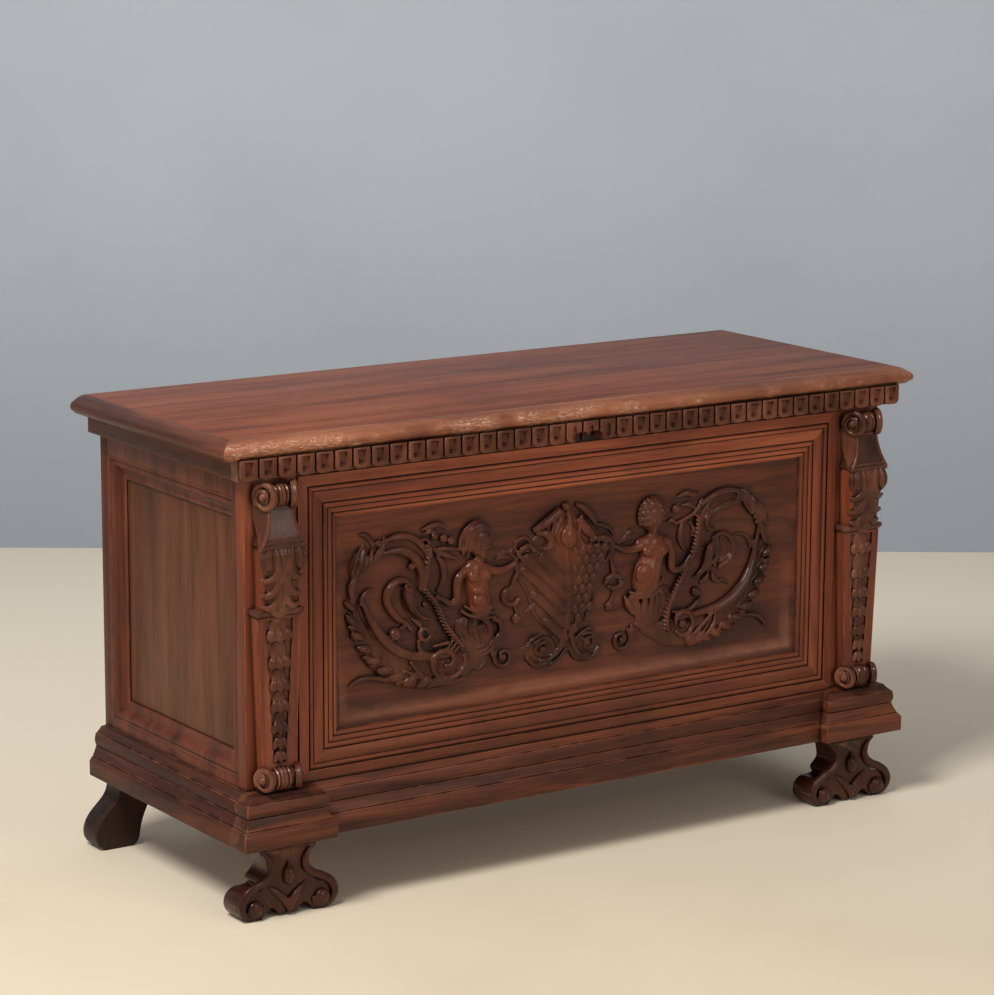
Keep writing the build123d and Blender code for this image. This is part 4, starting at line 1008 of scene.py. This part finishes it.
ridges(right_shape, [
    [(220, 308, 2), (240, 312, 4.2), (258, 321, 4.6), (272, 335, 4.2), (275, 350, 2.4)],
    [(220, 317, 2), (237, 327, 4.4), (251, 338, 4), (269, 352, 2.4)],
    [(226, 314, 1.6, 1), (247, 323, 2.4, 2), (264, 340, 1.4, 1)],
    [(281, 322, 2.4), (290, 333, 4.2), (305, 337, 2.6)],
    [(308, 333, 2.4), (320, 341, 4.2), (334, 342, 2.6)],
    [(195, 346, 3.4), (199, 358, 4.2), (213, 362, 4.8), (226, 353, 4.8), (229, 339, 4.6),
     (220, 326, 4.4), (206, 324, 4), (196, 332, 3.4)]], 0.9, 9.0)
lobes(right_shape, right_tail, -12, 23.0, 9.0, 16.5, 8.5, 6.4, 38, 0.42)
lobes(right_shape, right_tail, -18, 18.0, 5.4, 9.5, 6.0, 5.0, 48, 0.42)
lump(right_shape, 210, 342, 8, 8, 7, 6)
# bell flower: petals turned back round the mouth
ridges(right_shape, [
    [(378, 490, 7), (374, 502, 12), (360, 516, 13), (344, 530, 12), (330, 540, 7)],
    [(318, 550, 2, 2), (322, 541, 4, 4), (319, 530, 2, 2)],
    [(328, 549, 3, 4), (337, 543, 5, 6), (344, 534, 3, 6)],
    [(347, 537, 4, 5), (352, 526, 6, 7), (352, 512, 4, 6)],
    [(334, 531, 4, 5), (340, 520, 4, 6), (350, 508, 3, 5)],
    [(358, 528, 3, 3), (368, 518, 4, 5), (377, 508, 4, 5), (377, 498, 3, 5)],
    [(356, 502, 3, 5), (366, 496, 4, 6), (376, 496, 3, 5)],
    [(350, 555, 1.6), (350, 546, 3.6), (346, 540, 2.6)]], 0.75)
beads(right_shape, ((197, 531, 8), (239, 391, 9), (268, 462, 7), (262, 415, 4),
                    (269, 436, 4), (277, 431, 4)))
rope(right_shape, ((241, 515), (240, 500), (238, 488), (236, 474), (231, 460), (223, 443),
                   (214, 428), (203, 411), (193, 394), (184, 380), (179, 364), (178, 348),
                   (181, 335)))
rope(right_shape, ((181, 335), (188, 326), (200, 321), (214, 323)),
     radius=3.0, pitch=4.0, height=2.0)
ridges(right_shape, [
    [(273, 467, 5, 2), (266, 460, 8, 4), (261, 444, 8, 4), (255, 430, 6, 3), (244, 419, 4, 2),
     (234, 414, 2)],
    [(279, 446, 2.4, 4), (275, 440, 4, 4), (265, 434, 4, 4), (262, 424, 3, 3)],
    [(262, 418, 3), (258, 410, 7), (250, 404, 3)],
    [(272, 418, 3), (276, 408, 6), (286, 402, 3)],
    [(290, 405, 2), (300, 401, 3.4), (306, 396, 2)],
    [(316, 476, 1.6), (332, 475, 3), (345, 466, 3.4), (350, 452, 3)],
    [(352, 464, 2.4), (358, 452, 4), (362, 440, 3)],
    [(202, 551, 2.4), (218, 555, 5), (232, 551, 5), (243, 553, 2)],
    [(210, 536, 2), (222, 536, 4.4), (234, 530, 3)],
    [(182, 512, 2.4), (190, 514, 4), (196, 508, 2.4)],
    [(200, 508, 3), (216, 513, 3.6), (231, 519, 3.6), (243, 530, 3.6), (249, 541, 3)],
    [(210, 507, 3), (207, 496, 5), (207, 480, 6), (213, 467, 4), (219, 460, 2.4)],
    [(225, 508, 2), (232, 497, 3), (230, 484, 2)]], 0.8, 2.0)

# right half-figure, a curly haired boy, one arm out to the shield and one on the rope
ridges(right_shape, [
    [(150, 501, 8.5, 4), (151, 488, 10, 4)],
    [(127, 482, 10, 2), (150, 483, 14, 3), (177, 479, 11, 2)],
    [(153, 478, 23, 0), (150, 458, 23, 0), (143, 438, 25, 0), (139, 418, 26, 0)],
    [(128, 480, 8, 5), (112, 476, 7, 5), (96, 477, 6, 5), (82, 482, 4.4, 5),
     (74, 485, 3, 4)],
    [(182, 478, 8, 5), (187, 464, 7.5, 6), (187, 448, 7, 6), (190, 435, 6.4, 6),
     (202, 432, 5.8, 6), (214, 438, 5.2, 6), (224, 449, 5, 6)],
    [(118, 511, 2), (107, 503, 6), (96, 492, 4), (86, 488, 2)],
    [(116, 498, 3), (105, 494, 4), (95, 488, 2)]], 0.72)
for muscle in (
        (139, 470, 12, 9, 6, 11), (165, 469, 12, 9, 6, 11), (151, 452, 13, 9, 5, 11),
        (136, 434, 22, 20, 8, 10), (186, 470, 7, 9, 4, 6)):
    lump(right_shape, *muscle)
head(right_shape, 149, 525, -2)
for ring, (reach_x, reach_z, count, stand) in enumerate(
        ((24, 27, 15, 4), (19, 25, 12, 9), (13, 21, 9, 13))):
    for i in range(count):
        angle = math.radians(-18 + 222 * i / (count - 1) + 6 * ring)
        lump(right_shape, 149 + reach_x * math.cos(angle), 527 + reach_z * math.sin(angle),
             5.0, 4.6, 4.2, stand)
ridges(right_shape, [
    [(106, 407, 2.4, 6), (122, 403, 3, 10), (142, 404, 3.2, 11), (158, 411, 3, 9),
     (171, 422, 2.6, 6)],
    [(107, 400, 3, 6), (130, 397, 4, 9), (152, 400, 3.4, 8), (166, 408, 2.4, 6)],
    [(98, 399, 3, 4), (104, 388, 7, 5), (112, 376, 6, 4), (122, 366, 3, 2)],
    [(110, 398, 5, 6), (118, 388, 7, 6), (124, 376, 5, 4), (130, 364, 3, 2)],
    [(134, 398, 6, 6), (134, 384, 6, 6), (136, 368, 5, 4), (142, 356, 3, 2)],
    [(148, 398, 5, 6), (148, 384, 5, 6), (147, 370, 4, 4), (150, 358, 3, 2)],
    [(158, 400, 5, 5), (160, 388, 6, 5), (158, 374, 5, 4), (164, 362, 3, 2)],
    [(172, 396, 4, 3), (176, 382, 5, 3), (170, 370, 3, 2)],
    [(120, 352, 3), (140, 344, 7), (160, 340, 6), (176, 330, 3)]], 0.8)
volute(right_shape, 92, 331, 19, 1.4, 40, 4.4, -1)
ridges(right_shape, [[(112, 352, 3), (114, 340, 5), (109, 328, 4)]], 0.8, 2)
cut_out("carving_right", right_shape, on_field, carving_wood)


# ---- Gadrooned strip -----------------------------------------------------------------------
# A strip of hollow-cut tongues under the lid's front edge, glued up with the lid and
# notched so that a key can reach the plate behind it.
strip_wood = carved_walnut("strip_wood", (60, 30, 19), (100, 55, 39), (134, 82, 60), 1.7,
                           sheen=0.35, hollow=0.9)
strip_low, strip_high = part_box("gadroon_strip")
tongue_pitch, tongue_width, tongue_raise = 0.03195, 0.02895, 0.006
tongue_bed = 0.001  # how far a tongue runs into the core
tongue_rim, tongue_head = 0.0062, 0.0034
tongue_corner, tongue_edge = 0.0085, 0.0011
# the flute is a little narrower than the tongue's face, and sinks in three steps
flute_top_share, flute_foot_share = 0.86, 0.8
flute_steps = ((0.0007, -0.0026), (0.0014, -0.0018), (0.0014, -0.0007))
core_face = strip_low.y + tongue_raise
key_reach = 1.5 * tongue_pitch
first_tongue, last_tongue = 2, 19  # counted out from the middle; the key part takes up the rest


def part_of_strip(cuts):
    """The saved strip cut by planes, each (point, normal pointing to what goes)."""
    shape = merged("gadroon_strip")
    for point, away in cuts:
        sliced(shape, point, away, drop_beyond=True)
    return shape


def hollow_tongue(shape, centre):
    """One tongue: lower corners rounded off, then a flute sunk down its middle."""
    middle_y = strip_low.y + (tongue_raise + tongue_bed) / 2
    middle_z = (strip_low.z + strip_high.z) / 2
    tall = strip_high.z - strip_low.z
    block = bmesh.ops.create_cube(shape, size=1.0)["verts"]
    for vertex in block:
        vertex.co = Vector((centre + vertex.co.x * tongue_width,
                            middle_y + vertex.co.y * (tongue_raise + tongue_bed),
                            middle_z + vertex.co.z * tall))
    edges = dict.fromkeys(e for v in block for e in v.link_edges)  # once each, in order
    feet = [e for e in edges
            if all(v.co.z < middle_z for v in e.verts)
            and abs(e.verts[0].co.y - e.verts[1].co.y) > 0.001]
    eased(shape, feet, tongue_corner, 3)
    front = min((f for f in shape.faces if abs(f.calc_center_median().x - centre) < 0.002),
                key=lambda f: f.calc_center_median().y)
    rim = list(front.edges)
    bmesh.ops.inset_region(shape, faces=[front], thickness=tongue_rim, depth=0.0,
                           use_even_offset=True)
    for vertex in front.verts:
        if vertex.co.z > middle_z:
            vertex.co.z = strip_high.z - tongue_head
            vertex.co.x = centre + (vertex.co.x - centre) * flute_top_share
        else:
            vertex.co.x = centre + (vertex.co.x - centre) * flute_foot_share
    for thickness, depth in flute_steps:
        bmesh.ops.inset_region(shape, faces=[front], thickness=thickness, depth=depth,
                               use_even_offset=True)
    eased(shape, rim, tongue_edge, 2)


key_part = part_of_strip((((-key_reach, 0, 0), (-1, 0, 0)), ((key_reach, 0, 0), (1, 0, 0))))
settle("gadroon_key_part", key_part, strip_wood, "lid", ("gadroon_strip",))
for side, letter in ((-1, "l"), (1, "r")):
    core = part_of_strip((((side * key_reach, 0, 0), (-side, 0, 0)),
                          ((0, core_face + 0.0001, 0), (0, -1, 0))))
    settle("gadroon_core_" + letter, core, strip_wood, "lid")
    row = bmesh.new()
    for number in range(first_tongue, last_tongue + 1):
        hollow_tongue(row, side * number * tongue_pitch)
    bmesh.ops.recalc_face_normals(row, faces=row.faces)
    settle("gadroon_tongues_" + letter, row, strip_wood, "lid")


# ---- Pilasters -----------------------------------------------------------------------------
# Each front stile is faced with a carved bracket: a turned scroll, a punched plate, an
# acanthus leaf over a ledge, then a tapering shaft of husks that ends in a second scroll.
def tapered_block(shape, middle, levels):
    """Raise a block through levels of (half width, depth, height) in mm from the stile face.

    A level may add the half width and the depth of its back edge.
    """
    start = bmesh.ops.create_grid(shape, x_segments=1, y_segments=1, size=1.0)["verts"]
    corners = [(vertex, math.copysign(1, vertex.co.x), vertex.co.y > 0) for vertex in start]
    top = start[0].link_faces[0]
    for number, (half, depth, height, *back) in enumerate(levels):
        back_half, back_depth = back or (half, 0)
        if number:
            before = [(vertex.co.copy(), side, at_back) for vertex, side, at_back in corners]
            below = top
            grown = bmesh.ops.extrude_face_region(shape, geom=[top])["geom"]
            top = next(g for g in grown if isinstance(g, bmesh.types.BMFace))
            if number > 1:
                bmesh.ops.delete(shape, geom=[below], context="FACES_ONLY")
            corners = [(vertex, *min(before, key=lambda b: (b[0] - vertex.co).length)[1:])
                       for vertex in top.verts]
        for vertex, side, at_back in corners:
            vertex.co = Vector((middle + side * (back_half if at_back else half) / 1000,
                                stile_face - (back_depth if at_back else depth) / 1000,
                                height / 1000))
    bmesh.ops.recalc_face_normals(shape, faces=shape.faces)


def turned(shape, middle, y, z, outline):
    """Spin an outline of (place along x, radius) in mm about a level axis along the chest."""
    rim = [shape.verts.new((middle + x / 1000, y, z + radius / 1000)) for x, radius in outline]
    edges = [shape.edges.new(pair) for pair in zip(rim, rim[1:])]
    bmesh.ops.spin(shape, geom=rim + edges, cent=(middle, y, z), axis=(1, 0, 0),
                   dvec=(0, 0, 0), angle=2 * math.pi, steps=48, use_merge=True,
                   use_duplicate=False)
    bmesh.ops.remove_doubles(shape, verts=shape.verts, dist=1e-6)
    bmesh.ops.recalc_face_normals(shape, faces=shape.faces)


def roll_outline(half, radius):
    """Plain cuff and three rings, the same from either end."""
    near = [(-half, 0), (-half, radius - 5.5), (0.8 - half, radius - 4.6),
            (-12.5, radius - 5.2), (-12, radius - 2.8), (-9.8, radius - 1.4),
            (-7.4, radius - 2.8), (-6.8, radius - 3.8), (-5.8, radius - 1.8),
            (-3.2, radius - 0.2), (0, radius - 1.6)]
    return near + [(-x, r) for x, r in reversed(near[:-1])]


def face_between(levels):
    """The y of a face that runs through the depths of some levels, at a height z."""
    heights = [level[2] / 1000 for level in reversed(levels)]
    depths = [level[1] / 1000 for level in reversed(levels)]
    return lambda z: stile_face - float(np.interp(z, heights, depths))


def mirrored_marks(marks):
    """The marks, and the same ones across the middle."""
    return marks + [[(-x, *rest) for x, *rest in mark] for mark in marks]


pilaster_wood = carved_walnut("pilaster_wood", (50, 24, 15), (94, 53, 38), (130, 82, 62), 5.0,
                              rub_and_highlight_tone=(172, 124, 98))
pilaster_plain_wood = walnut("pilaster_plain_wood", "z", (50, 24, 15), (90, 49, 35),
                             (122, 76, 57), 33.0, rub=0.2, rub_and_highlight_tone=(150, 100, 76))
punched_wood = carved_walnut("punched_wood", (42, 22, 16), (74, 44, 34), (98, 62, 49), 6.0,
                             sheen=0.0, punched=3.0)
shaft_wood = walnut("walnut_shaft", "z", (70, 31, 17), (114, 55, 33), (140, 74, 46), 31.0)
# levels from the top down: half width, depth, height, back half width, back depth
plate_levels = [(21.6, 27, 632, 33, 0), (21.6, 28.4, 622, 32.5, 0), (23.2, 30.8, 608, 31, 0),
                (26.8, 34.2, 592, 28.5, 3), (31, 36, 581, 30, 12), (35, 37, 573, 34, 22),
                (38, 37.4, 568, 38, 27), (38.5, 37, 564, 38.5, 28)]
leaf_levels = [(22, 24, 606), (28, 31, 575), (31, 35, 556), (31, 34.5, 540), (30, 30, 518),
               (29, 26.5, 495), (29, 24, 474), (31, 24, 468)]
ledge_levels = [(39, 24, 471.5), (40.5, 25, 470.5), (40.5, 25, 465), (37, 21, 461)]
shaft_levels = [(37, 21, 460), (28.5, 20, 233), (28.5, 18.5, 194.5)]
disc_splay = math.radians(68)
leaf_marks = mirrored_marks([
    [(24, 567, 5.4, 1.5), (26, 552, 6.6, 3), (25, 539, 5.4, 4)],
    [(33, 563, 3.6, -1), (35.5, 550, 5.2, 0), (34, 538, 4.4, 1.5), (29, 531, 3, 2)],
    [(14, 568, 4.6, 2.5), (12, 552, 5.6, 3.5), (11, 536, 6.2, 4.5), (16, 524, 6.6, 4.5),
     (26, 518, 5.4, 2), (33, 520, 3.4, 0)],
    [(8, 520, 4.6, 3.5), (12, 504, 6.6, 4.5), (21, 495, 6.4, 3), (31, 495, 4.4, 0.5)],
    [(7, 496, 4.4, 3.5), (11, 483, 6.0, 4.5), (20, 476, 5.8, 3.5), (28, 478, 4.0, 1)],
    [(3.2, 566, 2.6, 3.2), (3.2, 520, 3.0, 4.2), (3.2, 484, 3.6, 5.2), (1.5, 472, 3.8, 4.6)]])
leaf_mass = [[(0, 566, 25), (0, 548, 29), (0, 530, 26), (0, 508, 24), (0, 490, 25),
              (0, 477, 19)]]
roll_y = stile_face - 0.020
head_roll_z, foot_roll_z, roll_radius = 0.643, 0.2145, 18
# scrolls on the ends of the rolls: name, height, distance from the middle, radius in mm
scroll_ends = (("high", 0.642, 0.0240, 18.4), ("low", foot_roll_z, 0.0285, 15.0))
sunk_top, sunk_foot = 0.0240, 0.0105  # half widths of the shaft's sunk face
shaft_margin, shaft_edge, shaft_sink = 0.006, 0.0005, 0.003
husk_feet = (458, 423, 381, 347, 315, 283, 259, 238)
for side_name in ("left", "right"):
    cap_low, cap_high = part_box("pilaster_cap_" + side_name)
    middle = (cap_low.x + cap_high.x) / 2
    cap = bmesh.new()
    for levels in (plate_levels, ledge_levels):
        block = bmesh.new()
        tapered_block(block, middle, levels)
        mesh = bpy.data.meshes.new("block")
        block.to_mesh(mesh)
        block.free()
        cap.from_mesh(mesh)
    settle("pilaster_cap_body_" + side_name, cap, pilaster_plain_wood, "chest",
           ("pilaster_cap_" + side_name,), smooth=38.0)
    head_roll = bmesh.new()
    turned(head_roll, middle, roll_y, head_roll_z, roll_outline(25, roll_radius))
    settle("pilaster_head_roll_" + side_name, head_roll, pilaster_wood, "chest",
           smooth=40.0)
    leaf_block = bmesh.new()
    tapered_block(leaf_block, middle, leaf_levels)
    settle("pilaster_leaf_block_" + side_name, leaf_block, shaft_wood, "chest",
           smooth=40.0)
    shaft = bmesh.new()
    tapered_block(shaft, middle, shaft_levels)
    face = max((f for f in shaft.faces if f.normal.y < -0.9), key=lambda f: f.calc_area())
    bmesh.ops.inset_region(shaft, faces=[face], thickness=shaft_margin, depth=0.0)
    for vertex in face.verts:
        half = sunk_top if vertex.co.z > 0.3 else sunk_foot
        vertex.co.x = middle + math.copysign(half, vertex.co.x - middle)
    bmesh.ops.inset_region(shaft, faces=[face], thickness=shaft_edge, depth=-shaft_sink)
    settle("pilaster_shaft_body_" + side_name, shaft, shaft_wood, "chest",
           ("pilaster_shaft_" + side_name,), smooth=30.0)
    foot_roll = bmesh.new()
    turned(foot_roll, middle, roll_y, foot_roll_z, roll_outline(29, roll_radius))
    settle("pilaster_foot_roll_" + side_name, foot_roll, pilaster_wood, "chest",
           smooth=40.0)
    # scrolls on the ends of both rolls, splayed to the front
    for end, letter in ((-1, "a"), (1, "b")):
        for level_name, level, half, radius in scroll_ends:
            scroll = bmesh.new()
            volute(scroll, 0, 0, radius, 0.95, 90 + 125 * -end, 4.3, end, 3.4, 6.6, rim=0.75)
            lump(scroll, 0, 0, radius + 3.4, radius + 3.4, 5.5, -4.0)
            cut_out(f"scroll_{side_name}_{letter}_{level_name}", scroll,
                    lambda _: 0.0, pilaster_wood, voxel=0.0008, reach_behind=0.005,
                    place=Matrix.Translation((middle + end * half, roll_y - 0.003, level))
                    @ Matrix.Rotation(disc_splay * end, 4, "Z"))
    # acanthus leaf, punched field and the border of the plate
    leaf_shape = bmesh.new()
    ridges(leaf_shape, leaf_mass, 0.2)
    ridges(leaf_shape, leaf_marks, 0.8)
    cut_out("pilaster_leaf_" + side_name, leaf_shape, face_between(leaf_levels),
            pilaster_wood, voxel=0.001, reach_behind=0.004,
            place=Matrix.Translation((middle, 0, 0)))
    field = bmesh.new()
    tapered_block(field, middle, [(half - 4, depth + 0.5, height)
                                  for half, depth, height, *_ in plate_levels[1:-1]])
    settle("pilaster_punched_" + side_name, field, punched_wood, "chest",
           smooth=50.0)
    plate_shape = bmesh.new()
    ridges(plate_shape, mirrored_marks([
        [(19.8, 624, 2.2, 0), (21.4, 608, 2.4, 0), (25.0, 592, 2.6, 0), (29.4, 581, 2.8, 0),
         (35.5, 570.5, 2.8, 0)]]) + [
            [(-36, 568, 2.4, 0), (36, 568, 2.4, 0)], [(-31, 575, 1.8, 0), (31, 575, 1.8, 0)],
            [(-20, 625, 1.6, 0), (20, 625, 1.6, 0)]], 0.85)
    cut_out("pilaster_plate_" + side_name, plate_shape, face_between(plate_levels),
            pilaster_wood, voxel=0.001, place=Matrix.Translation((middle, 0, 0)))
    # husks, one hanging out of the next
    husk_shape = bmesh.new()
    for above, low in zip(husk_feet, husk_feet[1:]):
        tall = above - low
        wide = 10.6 + 0.0594 * (low - husk_feet[-1])
        lump(husk_shape, 0, low + tall * 0.6, wide * 0.8, tall * 0.5, 4.4, -0.4)
        for side_lobe in (-1, 1):
            lump(husk_shape, side_lobe * wide * 0.6, low + 9, wide * 0.42, 10.5, 4.6, 3.4,
                 side_lobe * -20)
        lump(husk_shape, 0, low + 7.5, wide * 0.38, 10, 4.8, 4.6)
    husk_levels = [(0, level[1] - 3, level[2]) for level in shaft_levels]
    cut_out("pilaster_husks_" + side_name, husk_shape, face_between(husk_levels),
            pilaster_wood, voxel=0.0009, place=Matrix.Translation((middle, 0, 0)))

# ---- Front feet ----------------------------------------------------------------------------
# Sawn out of thick walnut and carved on the face: an S-shaped band runs down each side
# into a scroll, with a drop bead and a pointed tongue between.
foot_wood = carved_walnut("foot_wood", (34, 14, 8), (62, 29, 18), (86, 45, 31), 9.0,
                          rub_and_highlight_tone=(146, 98, 74))
foot_marks = mirrored_marks([
    [(46, 103, 2.6, 0), (37, 97, 4, 1), (30, 86, 5.6, 2), (30, 73, 6.6, 2.5),
     (42, 60, 7, 2.5), (60, 51, 7, 2.5), (74, 40, 7, 2.5), (80, 26, 6.6, 2.5),
     (76, 13, 5, 2), (67, 6, 3.8, 2), (54, 6, 3.2, 2), (44, 12, 3, 2), (43, 20, 2.4, 2)],
    [(30, 46, 4, -0.5), (20, 38, 6, 1.5), (9, 27, 6.4, 3), (2, 16, 5.4, 3.5)]]) + [
        [(-46, 104, 2.4, 0), (46, 104, 2.4, 0)],
        [(0, 24, 5, 4), (0, 14, 6.4, 4.5), (0, 6, 3.4, 3)]]
for side_name in ("left", "right"):
    low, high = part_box("front_foot_" + side_name)
    rubbed("front_foot_" + side_name, foot_wood, edge=0.003, steps=3)
    foot_shape = bmesh.new()
    ridges(foot_shape, foot_marks, 0.72)
    lump(foot_shape, 0, 63, 10, 16, 10, 1.5)
    ridges(foot_shape, [[(0, 66, 5, 4), (0, 76, 3.6, 3.4), (0, 84, 1.4, 1)]], 0.8)
    for side in (-1, 1):
        lump(foot_shape, side * 58, 19, 13, 13, 8, 2)
    cut_out("foot_carving_" + side_name, foot_shape, lambda _: low.y, foot_wood,
            voxel=0.001, place=Matrix.Translation(((low.x + high.x) / 2, 0, 0)))
